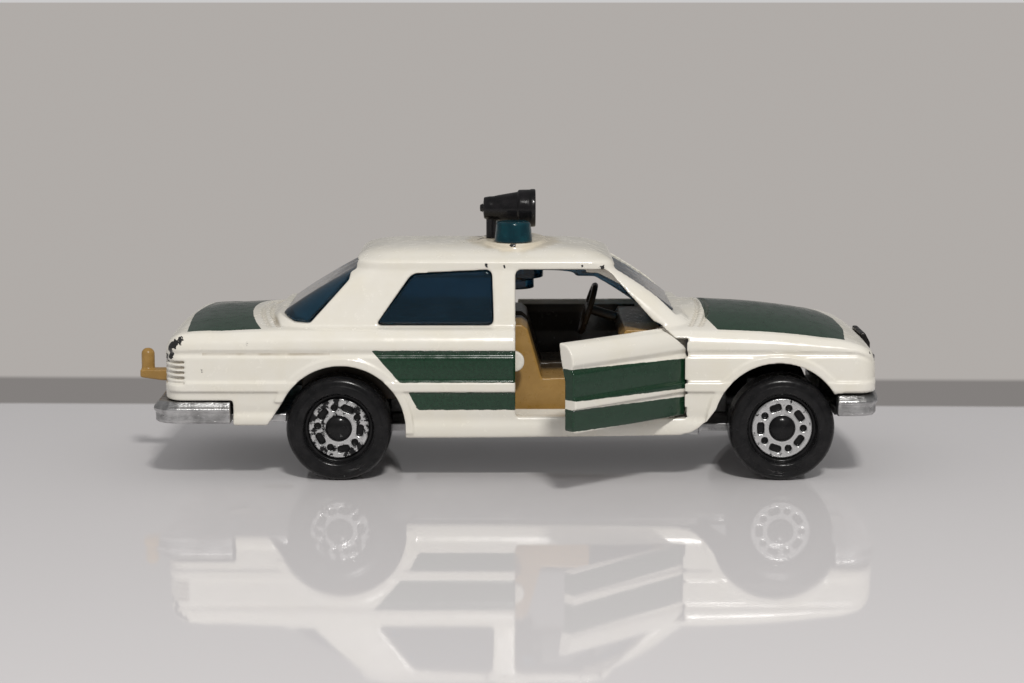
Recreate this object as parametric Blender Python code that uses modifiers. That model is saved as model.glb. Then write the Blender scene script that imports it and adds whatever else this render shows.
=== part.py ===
# A die-cast miniature saloon car, about 76 mm from bumper to bumper, with two opening doors,
# sprung axles, a tow hook, two beacons and a horn on the roof.
# +X is forward, +Z is up, and the origin is on the underside of the base plate.
# The right door (on the -Y side) stands open, as the car was left.

import math

import bmesh
import bpy
from mathutils import Matrix, Vector

MM = 0.001

# Ground plan. Heights are above the ground that the wheels stand on.
WHEELBASE = 46.2 * MM
FRONT_OVERHANG = 9.9 * MM
REAR_OVERHANG = 18.2 * MM
BODY_HALF_WIDTH = 13.65 * MM
BASE_HEIGHT = 4.5 * MM
WALL = 1.0 * MM
FIT = 0.15 * MM
SEAM = 0.3 * MM

# Lower body, its heights stacked from the base plate's underside
SILL_LIFT = 0.1 * MM
SILL_RISE = 0.4 * MM
REAR_VALANCE_LIFT = 1.4 * MM
FRONT_VALANCE_LIFT = 2.0 * MM
SILL_TUCK = 0.85 * MM
STRIP_DROP = 3.85 * MM
STRIP_WIDTH = 0.9 * MM
STRIP_PROUD = 0.2 * MM
CREASE_RISE = 8.9 * MM
CREASE_DEPTH = 0.22 * MM
SHOULDER_RISE = 3.4 * MM
DECK_CROWN = 0.9 * MM
CROWN_RUN = 6.0 * MM
BONNET_CROWN = 0.45 * MM
CORNER_LENGTH = 2.0 * MM
CORNER_WIDTH = 3.2 * MM
SILL_HEIGHT = BASE_HEIGHT + SILL_LIFT
REAR_VALANCE_HEIGHT = BASE_HEIGHT + REAR_VALANCE_LIFT
FRONT_VALANCE_HEIGHT = BASE_HEIGHT + FRONT_VALANCE_LIFT
CREASE_HEIGHT = BASE_HEIGHT + CREASE_RISE
STRIP_HEIGHT = CREASE_HEIGHT - STRIP_DROP
DECK_HEIGHT = CREASE_HEIGHT + SHOULDER_RISE

# Cabin, stacked from the deck and drawn in from the body's sides
WINDOW_SILL_DROP = 0.7 * MM
WINDOW_RISE = 5.0 * MM
ROOF_RISE = 2.15 * MM
ROOF_INSET = 3.9 * MM
CABIN_INSET = 2.05 * MM
CABIN_FRONT = 14.3 * MM
CABIN_REAR = -31.3 * MM
ROOF_FRONT = 5.9 * MM
ROOF_REAR = -21.9 * MM
PILLAR_REAR_EDGE = -6.95 * MM
PILLAR_FRONT_EDGE = -4.7 * MM
SIDE_GLASS_REAR = -19.3 * MM
FRONT_CORNER_RADIUS = 3.2 * MM
REAR_CORNER_RADIUS = 4.6 * MM
CORNER_TIGHTENING = 0.25
SCREEN_INSET = 1.8 * MM
SCREEN_DEPTH = 2.6 * MM
SCREEN_TAPER = 0.38
WINDOW_SILL_HEIGHT = DECK_HEIGHT - WINDOW_SILL_DROP
WINDOW_TOP_HEIGHT = DECK_HEIGHT + WINDOW_RISE
ROOF_HEIGHT = WINDOW_TOP_HEIGHT + ROOF_RISE
ROOF_HALF_WIDTH = BODY_HALF_WIDTH - ROOF_INSET
CABIN_HALF_WIDTH = BODY_HALF_WIDTH - CABIN_INSET
SCREEN_HALF_WIDTH = CABIN_HALF_WIDTH - SCREEN_INSET

# Doors
DOOR_FRONT = 12.3 * MM
DOOR_LIFT = 2.5 * MM
DOOR_TOP_DROP = 0.8 * MM
DOOR_THICKNESS = 1.3 * MM
DOOR_PIVOT_INSET = 0.6 * MM
DOOR_PIVOT_DEPTH = 1.65 * MM
DOOR_PIN_RADIUS = 0.3 * MM
DOOR_BARREL_RADIUS = 0.6 * MM
DOOR_SWING_GAP = 0.27 * MM
DOOR_OPEN_ANGLE = math.radians(43.0)
DOOR_HEIGHT = BASE_HEIGHT + DOOR_LIFT
DOOR_TOP = DECK_HEIGHT - DOOR_TOP_DROP

# Running gear. The axles lie just above the base plate's underside.
AXLE_LIFT = 1.0 * MM
WHEEL_WIDTH = 4.3 * MM
WHEEL_INSET = 0.25 * MM
WELL_RADIUS = 3.75 * MM
HUB_RADIUS = 3.1 * MM
DOME_RADIUS = 1.35 * MM
HUB_RECESS = 0.55 * MM
SLOT_COUNT = 5
AXLE_RADIUS = 0.5 * MM
AXLE_TRAVEL = 0.6 * MM
BEARING_INSET = 1.5 * MM
REAR_ARCH_ROOM = 1.2 * MM
FRONT_ARCH_ROOM = 1.8 * MM
SPRING_LENGTH = 6.2 * MM
SPRING_THICKNESS = 0.25 * MM
SPRING_WIDTH = 3.0 * MM
WHEEL_RADIUS = BASE_HEIGHT + AXLE_LIFT
REAR_ARCH_RADIUS = WHEEL_RADIUS + REAR_ARCH_ROOM
FRONT_ARCH_RADIUS = WHEEL_RADIUS + FRONT_ARCH_ROOM
WHEEL_FACE = BODY_HALF_WIDTH - WHEEL_INSET
WHEEL_BACK = WHEEL_FACE - WHEEL_WIDTH
BEARING_OFFSET = WHEEL_BACK - BEARING_INSET

# Base plate, bumpers and grille
PLATE_THICKNESS = 0.8 * MM
PLATE_INSET = 2.75 * MM
PAN_THICKNESS = 0.9 * MM
REAR_PAN_LIFT = 1.6 * MM
FRONT_PAN_LIFT = 2.3 * MM
BUMPER_DEPTH = 1.3 * MM
BUMPER_WIDTH = 2.3 * MM
FRONT_BUMPER_LIFT = 0.1 * MM
REAR_BUMPER_LENGTH = 8.2 * MM
FRONT_TIP_ROOM = 0.15 * MM
REAR_BUMPER_REACH = 1.2 * MM
FRONT_BUMPER_REACH = 0.7 * MM
BUMPER_PROUD = 0.05 * MM
GRILLE_HALF_WIDTH = 3.0 * MM
LAMP_INSET = 3.25 * MM
POST_RADIUS = 1.3 * MM
POST_HEAD = 0.5 * MM
REAR_POST_INSET = 6.8 * MM
FRONT_POST_INSET = 3.4 * MM
REAR_PAN_HEIGHT = BASE_HEIGHT + REAR_PAN_LIFT
FRONT_PAN_HEIGHT = BASE_HEIGHT + FRONT_PAN_LIFT
REAR_BUMPER_HEIGHT = REAR_PAN_HEIGHT
FRONT_BUMPER_LENGTH = FRONT_OVERHANG + FRONT_BUMPER_REACH - WHEEL_RADIUS - FRONT_TIP_ROOM
FRONT_BUMPER_HEIGHT = FRONT_PAN_HEIGHT + FRONT_BUMPER_LIFT
PLATE_HALF_WIDTH = BODY_HALF_WIDTH - PLATE_INSET
BUMPER_HALF_WIDTH = BODY_HALF_WIDTH + BUMPER_PROUD
LAMP_HALF_WIDTH = BODY_HALF_WIDTH - LAMP_INSET

# Roof kit
PLATFORM_RISE = 0.25 * MM
PLATFORM_CENTRE = -4.9 * MM
PLATFORM_HALF_LENGTH = 3.5 * MM
PLATFORM_INSET = 2.75 * MM
BEACON_INSET = 2.4 * MM
BEACON_RADIUS = 1.9 * MM
BEACON_HEIGHT = 2.35 * MM
BEACON_STEM_RADIUS = 0.9 * MM
BOSS_RADIUS = 2.2 * MM
BOSS_FLANGE = 1.0 * MM
HORN_LENGTH = 5.7 * MM
HORN_MOUTH_RADIUS = 2.05 * MM
HORN_BACK_RADIUS = 1.25 * MM
HORN_AXIS_HEIGHT = 3.2 * MM
HORN_FOOT_RADIUS = 0.55 * MM
PLATFORM_HEIGHT = ROOF_HEIGHT + PLATFORM_RISE
PLATFORM_HALF_WIDTH = ROOF_HALF_WIDTH - PLATFORM_INSET
BEACON_OFFSET = PLATFORM_HALF_WIDTH - BEACON_INSET

# Interior
FLOOR_INSET = 1.0 * MM
FLOOR_THICKNESS = 0.9 * MM
SEAT_WIDTH = 7.6 * MM
CUSHION_REACH = 7.6 * MM
BACKREST_REACH = 2.5 * MM
BACKREST_LEAN = 1.7 * MM
BENCH_ROOM = 1.3 * MM
SEAT_INSET = 4.5 * MM
CUSHION_DROP = 5.8 * MM
BACKREST_DROP = 0.1 * MM
STEERING_RADIUS = 2.7 * MM
STEERING_RIM = 0.38 * MM
HOOK_REACH = 4.3 * MM
HOOK_RISE = 3.7 * MM
HOOK_RADIUS = 0.72 * MM
FLOOR_HALF_WIDTH = PLATE_HALF_WIDTH - FLOOR_INSET
SEAT_CENTRE = FLOOR_HALF_WIDTH - SEAT_INSET
CUSHION_HEIGHT = DOOR_TOP - CUSHION_DROP
BACKREST_HEIGHT = DOOR_TOP - BACKREST_DROP
HOOK_HEIGHT = REAR_BUMPER_HEIGHT + BUMPER_WIDTH + HOOK_RISE

REAR_AXLE = -WHEELBASE / 2
FRONT_AXLE = WHEELBASE / 2
TAIL = REAR_AXLE - REAR_OVERHANG
NOSE = FRONT_AXLE + FRONT_OVERHANG
PLATE_TOP = BASE_HEIGHT + PLATE_THICKNESS
DOOR_PIVOT = Vector((DOOR_FRONT - DOOR_PIVOT_INSET, -(BODY_HALF_WIDTH - DOOR_PIVOT_DEPTH), 0))
DOOR_REAR = PILLAR_FRONT_EDGE + SEAM
REAR_POST = TAIL + REAR_POST_INSET
FRONT_POST = NOSE - FRONT_POST_INSET
HOOK_END = TAIL - HOOK_REACH
FAR = 60 * MM
WELD = 0.001 * MM


def clear_scene():
    for obj in list(bpy.data.objects):
        bpy.data.objects.remove(obj, do_unlink=True)


clear_scene()
car = bpy.data.collections.new("miniature_car")
cutters = bpy.data.collections.new("cutters")
bpy.context.scene.collection.children.link(car)
bpy.context.scene.collection.children.link(cutters)

# Everything is drawn above the ground, and this empty lowers it to the frame of the base plate
ground = bpy.data.objects.new("ground", None)
ground.location.z = -BASE_HEIGHT
car.objects.link(ground)


def material(name, color, roughness, metallic=0.0, alpha=1.0):
    mat = bpy.data.materials.new(name)
    mat.use_nodes = True
    shader = mat.node_tree.nodes["Principled BSDF"]
    shader.inputs["Base Color"].default_value = (*color, 1.0)
    shader.inputs["Roughness"].default_value = roughness
    shader.inputs["Metallic"].default_value = metallic
    shader.inputs["Alpha"].default_value = alpha
    return mat


paint = material("white_paint", (0.80, 0.77, 0.70), 0.25)
zinc = material("bare_zinc", (0.45, 0.46, 0.47), 0.38, 1.0)
steel = material("steel", (0.60, 0.60, 0.60), 0.30, 1.0)
black = material("black_plastic", (0.02, 0.02, 0.02), 0.35)
tan = material("tan_plastic", (0.42, 0.27, 0.09), 0.42)
blue = material("blue_glazing", (0.03, 0.12, 0.17), 0.12, 0.0, 0.6)
teal = material("teal_lens", (0.02, 0.13, 0.16), 0.15, 0.0, 0.85)


def add(name, mesh, mat=None):
    # A piece of the car has a material; anything without one is a cutter or a guide
    obj = bpy.data.objects.new(name, mesh)
    obj.parent = ground
    if mat:
        car.objects.link(obj)
        mesh.materials.append(mat)
    else:
        cutters.objects.link(obj)
        obj.hide_render = True
        obj.display_type = "WIRE"
    return obj


def finished(name, shape, mat=None):
    bmesh.ops.recalc_face_normals(shape, faces=shape.faces)
    mesh = bpy.data.meshes.new(name)
    shape.to_mesh(mesh)
    shape.free()
    return add(name, mesh, mat)


def loft(name, rings, mat=None):
    # Closed rings with equal counts of points, joined by quads and capped at both ends
    shape = bmesh.new()
    rows = [[shape.verts.new(point) for point in ring] for ring in rings]
    for row, after in zip(rows, rows[1:]):
        for i in range(len(row)):
            shape.faces.new((row[i - 1], row[i], after[i], after[i - 1]))
    shape.faces.new(rows[0])
    shape.faces.new(rows[-1])
    return finished(name, shape, mat)


def prism(name, outline, axis, low, high, mat=None):
    # A flat outline drawn in the other two axes, in their order, and carried along this one
    curve = bpy.data.curves.new(name + "_outline", "CURVE")
    curve.dimensions = "2D"
    curve.fill_mode = "BOTH"
    curve.extrude = (high - low) / 2
    spline = curve.splines.new("POLY")
    spline.points.add(len(outline) - 1)
    for point, (u, v) in zip(spline.points, outline):
        point.co = (u, v, 0, 1)
    spline.use_cyclic_u = True
    sketch = add(name + "_outline", curve)
    depsgraph = bpy.context.evaluated_depsgraph_get()
    flat = bpy.data.meshes.new_from_object(sketch.evaluated_get(depsgraph))
    bpy.data.objects.remove(sketch)
    shape = bmesh.new()
    shape.from_mesh(flat)
    bmesh.ops.remove_doubles(shape, verts=shape.verts, dist=WELD)
    bmesh.ops.dissolve_limit(shape, angle_limit=math.radians(0.1), verts=[], edges=shape.edges)
    order = {"x": "yzx", "y": "xzy", "z": "xyz"}[axis]
    place = Matrix.Identity(4)
    for column, letter in enumerate(order):
        place.col[column] = Vector([float(letter == other) for other in "xyz"]).to_4d()
        place.col[column].w = 0
    lift = Matrix.Translation((0, 0, (low + high) / 2))
    shape.transform(place @ lift)
    return finished(name, shape, mat)


def box(name, low, high, mat=None):
    size = Vector(high) - Vector(low)
    shape = bmesh.new()
    bmesh.ops.create_cube(shape, matrix=Matrix.LocRotScale((Vector(low) + Vector(high)) / 2, None, size))
    return finished(name, shape, mat)


def cylinder(name, centre, axis, radius, low, high, steps=16, mat=None):
    # The centre is given in the other two axes, in their order
    middle = (low + high) / 2
    spot, turn = {
        "x": ((middle, *centre), Matrix.Rotation(math.pi / 2, 4, "Y")),
        "y": ((centre[0], middle, centre[1]), Matrix.Rotation(math.pi / 2, 4, "X")),
        "z": ((*centre, middle), Matrix.Identity(4)),
    }[axis]
    shape = bmesh.new()
    bmesh.ops.create_cone(
        shape,
        cap_ends=True,
        segments=steps,
        radius1=radius,
        radius2=radius,
        depth=high - low,
        matrix=Matrix.Translation(spot) @ turn @ Matrix.Rotation(math.pi / steps, 4, "Z"),
    )
    return finished(name, shape, mat)


def rounded(outline, radius, steps=3):
    # The same outline with each corner replaced by a short arc-like curve
    result = []
    for i, here in enumerate(outline):
        before, after = outline[i - 1], outline[(i + 1) % len(outline)]
        ends = []
        for other in (before, after):
            run = math.dist(here, other)
            share = min(radius, run * 0.45) / run
            ends.append([here[k] + (other[k] - here[k]) * share for k in (0, 1)])
        for s in range(steps + 1):
            t = s / steps
            result.append(
                tuple(
                    (1 - t) ** 2 * ends[0][k] + 2 * t * (1 - t) * here[k] + t * t * ends[1][k]
                    for k in (0, 1)
                )
            )
    return result


def turned(name, profile, steps, mat=None):
    # A profile of (radius, height), top to bottom, spun round Z
    mesh = bpy.data.meshes.new(name)
    mesh.from_pydata([(r, 0, z) for r, z in profile], [(i, i + 1) for i in range(len(profile) - 1)], [])
    guide = add(name + "_profile", mesh)
    screw = guide.modifiers.new("screw", "SCREW")
    screw.steps = screw.render_steps = steps
    screw.use_merge_vertices = True
    screw.merge_threshold = WELD
    return baked(guide, name, mat)


def boolean(target, cutter, operation="DIFFERENCE"):
    cut = target.modifiers.new(cutter.name, "BOOLEAN")
    cut.operation = operation
    cut.solver = "EXACT"
    cut.object = cutter


def cut(target, *tools):
    for tool in tools:
        boolean(target, tool)


def join(target, *tools):
    for tool in tools:
        boolean(target, tool, "UNION")


def baked(obj, name, mat=None, matrix=None):
    # The evaluated shape as a new object of its own
    depsgraph = bpy.context.evaluated_depsgraph_get()
    mesh = bpy.data.meshes.new_from_object(obj.evaluated_get(depsgraph))
    mesh.name = name
    if matrix:
        mesh.transform(matrix)
        if matrix.determinant() < 0:
            mesh.flip_normals()
    mesh.materials.clear()
    return add(name, mesh, mat)


def smooth(obj, angle=35.0):
    obj.data.shade_smooth()
    obj.data.set_sharp_from_angle(angle=math.radians(angle))


def through(points, at):
    # A smooth curve through rising points that never overshoots them
    if at <= points[0][0]:
        return points[0][1]
    for i in range(len(points) - 1):
        (x0, y0), (x1, y1) = points[i], points[i + 1]
        if at <= x1:
            break
    else:
        return points[-1][1]

    def slope(k):
        if k <= 0 or k >= len(points) - 1:
            return 0.0 if k <= 0 else (points[k][1] - points[k - 1][1]) / (points[k][0] - points[k - 1][0])
        left = (points[k][1] - points[k - 1][1]) / (points[k][0] - points[k - 1][0])
        right = (points[k + 1][1] - points[k][1]) / (points[k + 1][0] - points[k][0])
        return 0.0 if left * right <= 0 else 2 * left * right / (left + right)

    run = x1 - x0
    t = (at - x0) / run
    m0, m1 = slope(i) * run, slope(i + 1) * run
    return (
        (2 * t**3 - 3 * t**2 + 1) * y0
        + (t**3 - 2 * t**2 + t) * m0
        + (3 * t**2 - 2 * t**3) * y1
        + (t**3 - t**2) * m1
    )


# How far the centre of the deck lies below its height beside the screens, by distance from each end
TAIL_DROP = ((0, 2.6), (0.7, 1.6), (1.9, 0.9), (5.3, 0.35), (12.3, 0))
NOSE_DROP = ((0, 3.9), (0.6, 2.9), (2.0, 2.0), (4.0, 1.3), (7.0, 0.75), (12.0, 0.3), (19.0, 0))
BONNET_BULGE = ((3.0, 0), (8.0, 0.45), (14.0, 0.9), (18.0, 1.0), (24.0, 1.0), (34.0, 0))


def scaled(points):
    return [(a * MM, b * MM) for a, b in points]


def deck_top(x):
    from_tail = through(scaled(TAIL_DROP), x - TAIL)
    from_nose = through(scaled(NOSE_DROP), NOSE - x)
    return DECK_HEIGHT - from_tail - from_nose + bonnet_bulge(x)


def bonnet_bulge(x):
    return BONNET_CROWN * through([(a * MM, b) for a, b in BONNET_BULGE], NOSE - x)


def half_width(x):
    into = max(TAIL + CORNER_LENGTH - x, x - (NOSE - CORNER_LENGTH), 0) / CORNER_LENGTH
    return BODY_HALF_WIDTH - CORNER_WIDTH * (1 - math.sqrt(max(0, 1 - min(into, 1) ** 2)))


def body_bottom(x):
    arch = 5.0 * MM
    stops = [
        (REAR_AXLE - arch, REAR_VALANCE_HEIGHT),
        (REAR_AXLE + arch, SILL_HEIGHT),
        (FRONT_AXLE - arch, SILL_HEIGHT + SILL_RISE),
        (FRONT_AXLE + arch, FRONT_VALANCE_HEIGHT),
    ]
    return through(stops, x)


def body_section(x, inset):
    # Half of the outline at one station, from the middle of the bottom to the middle of the deck
    wide = half_width(x) - inset
    low = body_bottom(x) if inset == 0 else BASE_HEIGHT - 2 * MM
    top = deck_top(x) - inset
    crown = DECK_CROWN * min(1, 0.3 + 0.7 * min(x - TAIL, NOSE - x) / CROWN_RUN) + bonnet_bulge(x)
    edge = top - crown
    fold = min(CREASE_HEIGHT, edge - 1.0 * MM)
    tuck = SILL_TUCK if inset == 0 else SILL_TUCK * 0.6
    proud = STRIP_PROUD if inset == 0 else 0
    crease = CREASE_DEPTH if inset == 0 else 0
    roll = edge - fold
    strip_top = STRIP_HEIGHT + STRIP_WIDTH
    lip = 0.12 * MM
    if inset >= WALL:
        return [
            (0, low),
            (wide - tuck, low),
            (wide, strip_top),
            (wide, fold),
            (wide - 0.3 * MM, fold + 0.6 * roll),
            (wide - 1.5 * MM, edge),
            ((wide - 1.5 * MM) * 0.6, edge + 0.64 * crown),
            (0, top),
        ]
    return [
        (0, low),
        (wide * 0.5, low),
        (wide - tuck - 0.3 * MM, low),
        (wide - tuck, low + 0.3 * MM),
        (wide - 0.35 * tuck, low + 0.5 * (STRIP_HEIGHT - low)),
        (wide - 0.02 * MM, STRIP_HEIGHT - lip),
        (wide + proud, STRIP_HEIGHT),
        (wide + proud, strip_top),
        (wide - 0.02 * MM, strip_top + lip),
        (wide - 0.05 * MM, fold - 0.4 * MM),
        (wide - 0.05 * MM - crease, fold),
        (wide - 0.08 * MM, fold + 0.22 * roll),
        (wide - 0.25 * MM, fold + 0.55 * roll),
        (wide - 0.75 * MM, fold + 0.85 * roll),
        (wide - 1.5 * MM, edge),
        ((wide - 1.5 * MM) * 0.78, edge + 0.38 * crown),
        ((wide - 1.5 * MM) * 0.42, edge + 0.82 * crown),
        (0, top),
    ]


def body_loft(name, inset, mat=None):
    start, end = TAIL + inset, NOSE - inset
    stations = [start + d * MM for d in (0, 0.25, 0.8, 1.5, 2.4, 4.5, 8, 12)]
    stations += [end - d * MM for d in (9, 6, 4, 2.6, 1.7, 1.0, 0.4, 0)]
    gap = stations[8] - stations[7]
    middle = [stations[7] + gap * k / 6 for k in range(1, 6)]
    stations = sorted(stations + middle)
    if inset >= WALL:
        stations = stations[:3] + stations[4:-3:2] + stations[-2:]
    rings = []
    for x in stations:
        half = body_section(x, inset)
        left = [(x, y, z) for y, z in half]
        right = [(x, -y, z) for y, z in reversed(half[1:-1])]
        rings.append(left + right)
    return loft(name, rings, mat)


def rounded_rectangle(front, rear, half, front_radius, rear_radius, steps):
    points = []
    corners = (
        (front - front_radius, half - front_radius, front_radius, 0),
        (rear + rear_radius, half - rear_radius, rear_radius, 1),
        (rear + rear_radius, -(half - rear_radius), rear_radius, 2),
        (front - front_radius, -(half - front_radius), front_radius, 3),
    )
    for cx, cy, radius, quarter in corners:
        for s in range(steps + 1):
            a = math.pi / 2 * (quarter + s / steps)
            points.append((cx + radius * math.cos(a), cy + radius * math.sin(a)))
    return points


def cabin_loft(name, inset, low, mat=None):
    # Rounded rings from the beltline up, with the roof's crown closed by ever smaller ones
    belt = DECK_HEIGHT - DECK_CROWN
    rise = WINDOW_TOP_HEIGHT - belt
    shoulder = WINDOW_TOP_HEIGHT - 0.5 * inset
    front_run, rear_run = CABIN_FRONT - ROOF_FRONT, CABIN_REAR - ROOF_REAR
    front_inset = inset * math.hypot(front_run, rise) / rise
    rear_inset = inset * math.hypot(rear_run, rise) / rise
    rings = []
    for z in (low, belt, belt + 0.3 * rise, belt + 0.65 * rise, shoulder):
        t = (z - belt) / rise
        bow = 0.5 * MM * 4 * t * (1 - t)
        front = CABIN_FRONT - front_run * t + bow - front_inset
        rear = CABIN_REAR - rear_run * t - bow + rear_inset
        half = CABIN_HALF_WIDTH + (ROOF_HALF_WIDTH - CABIN_HALF_WIDTH) * t - inset
        rings.append((z, front, rear, half))
    crown = ROOF_HEIGHT - inset - shoulder
    for lift, ahead, behind, side in (
        (0.33, 0.35, 0.2, 0.0),
        (0.62, 1.4, 0.9, 1.2),
        (0.86, 3.2, 2.3, 3.0),
        (1.0, 7.5, 5.8, 6.2),
    ):
        rings.append(
            (
                shoulder + lift * crown,
                ROOF_FRONT - ahead * MM - front_inset,
                ROOF_REAR + behind * MM + rear_inset,
                ROOF_HALF_WIDTH - side * MM - inset,
            )
        )
    result = []
    for z, front, rear, half in rings:
        t = min(max((z - belt) / rise, 0), 1)
        near = min(FRONT_CORNER_RADIUS * (1 - CORNER_TIGHTENING * t), 0.9 * half)
        far = min(REAR_CORNER_RADIUS * (1 - CORNER_TIGHTENING * t), 0.9 * half)
        steps = 4 if inset < WALL else 3
        plan = rounded_rectangle(front, rear, half, near, far, steps)
        result.append([(x, y, z) for x, y in plan])
    return loft(name, result, mat)


def side_outline_door(seam):
    # The door's outline seen from the side, grown by the seam for its opening
    front = DOOR_FRONT + seam
    rear = DOOR_REAR - seam
    low = DOOR_HEIGHT - seam
    return [
        (rear, low),
        (front, low),
        (front, CREASE_HEIGHT + 0.35 * MM + 2.2 * seam),
        (front - 2.9 * MM + 1.2 * seam, DOOR_TOP + seam),
        (rear, DOOR_TOP + seam),
    ]


def front_window_outline(grow=0.0, sill=None):
    sill = DOOR_TOP if sill is None else sill
    lean = (DOOR_FRONT - 2.3 * MM) - (ROOF_FRONT - 1.0 * MM)
    share = (sill - DOOR_TOP) / (WINDOW_TOP_HEIGHT - DOOR_TOP)
    return [
        (PILLAR_FRONT_EDGE - grow, sill - grow),
        (DOOR_FRONT - 2.3 * MM - lean * share + grow, sill - grow),
        (ROOF_FRONT - 1.0 * MM + grow, WINDOW_TOP_HEIGHT + grow),
        (PILLAR_FRONT_EDGE - grow, WINDOW_TOP_HEIGHT + grow),
    ]


def rear_window_outline(grow=0.0):
    slant = 3.8 * MM
    return [
        (SIDE_GLASS_REAR - grow, WINDOW_SILL_HEIGHT - grow),
        (PILLAR_REAR_EDGE + grow, WINDOW_SILL_HEIGHT - grow),
        (PILLAR_REAR_EDGE - 0.2 * MM + grow, WINDOW_TOP_HEIGHT + grow),
        (SIDE_GLASS_REAR + slant - grow, WINDOW_TOP_HEIGHT - 0.4 * MM + grow),
    ]


def windscreen_outline(deep=0.0, shrink=0.0):
    # What is cut away in front of the pillars, seen from the side
    top = (ROOF_FRONT + 1.1 * MM - deep + 1.5 * shrink, WINDOW_TOP_HEIGHT + 0.1 * MM - shrink)
    foot = (CABIN_FRONT - 2.2 * MM - deep + shrink, DECK_HEIGHT + 0.3 * MM + shrink)
    return [foot, (foot[0] + 9 * MM, foot[1] + 0.5 * MM), (top[0] + 9 * MM, top[1] + 1 * MM), top]


def rear_screen_outline(deep=0.0, shrink=0.0):
    top = (ROOF_REAR - 0.1 * MM + deep - shrink, WINDOW_TOP_HEIGHT - 0.2 * MM - shrink)
    knee = (ROOF_REAR - 0.2 * MM + deep - shrink, WINDOW_TOP_HEIGHT - 1.1 * MM)
    foot = (CABIN_REAR + 5.2 * MM + deep - shrink, WINDOW_SILL_HEIGHT + 0.25 * MM + shrink)
    toe = (CABIN_REAR + 3.6 * MM + deep - shrink, WINDOW_SILL_HEIGHT + 0.3 * MM + shrink)
    return [toe, foot, knee, top, (top[0] - 9 * MM, top[1] + 5 * MM), (toe[0] - 9 * MM, toe[1] + 3.4 * MM)]


def screen_hole(name, outline, half):
    # Narrower towards the roof, as the cabin is
    taper = SCREEN_TAPER
    rings = [
        [(x, side * (half - taper * (z - DECK_HEIGHT)), z) for x, z in outline] for side in (-1, 1)
    ]
    return loft(name, rings)


def across(side, inner, outer=FAR):
    # From one distance off the middle plane to another, as a rising pair
    return sorted((side * inner, side * outer))


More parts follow.
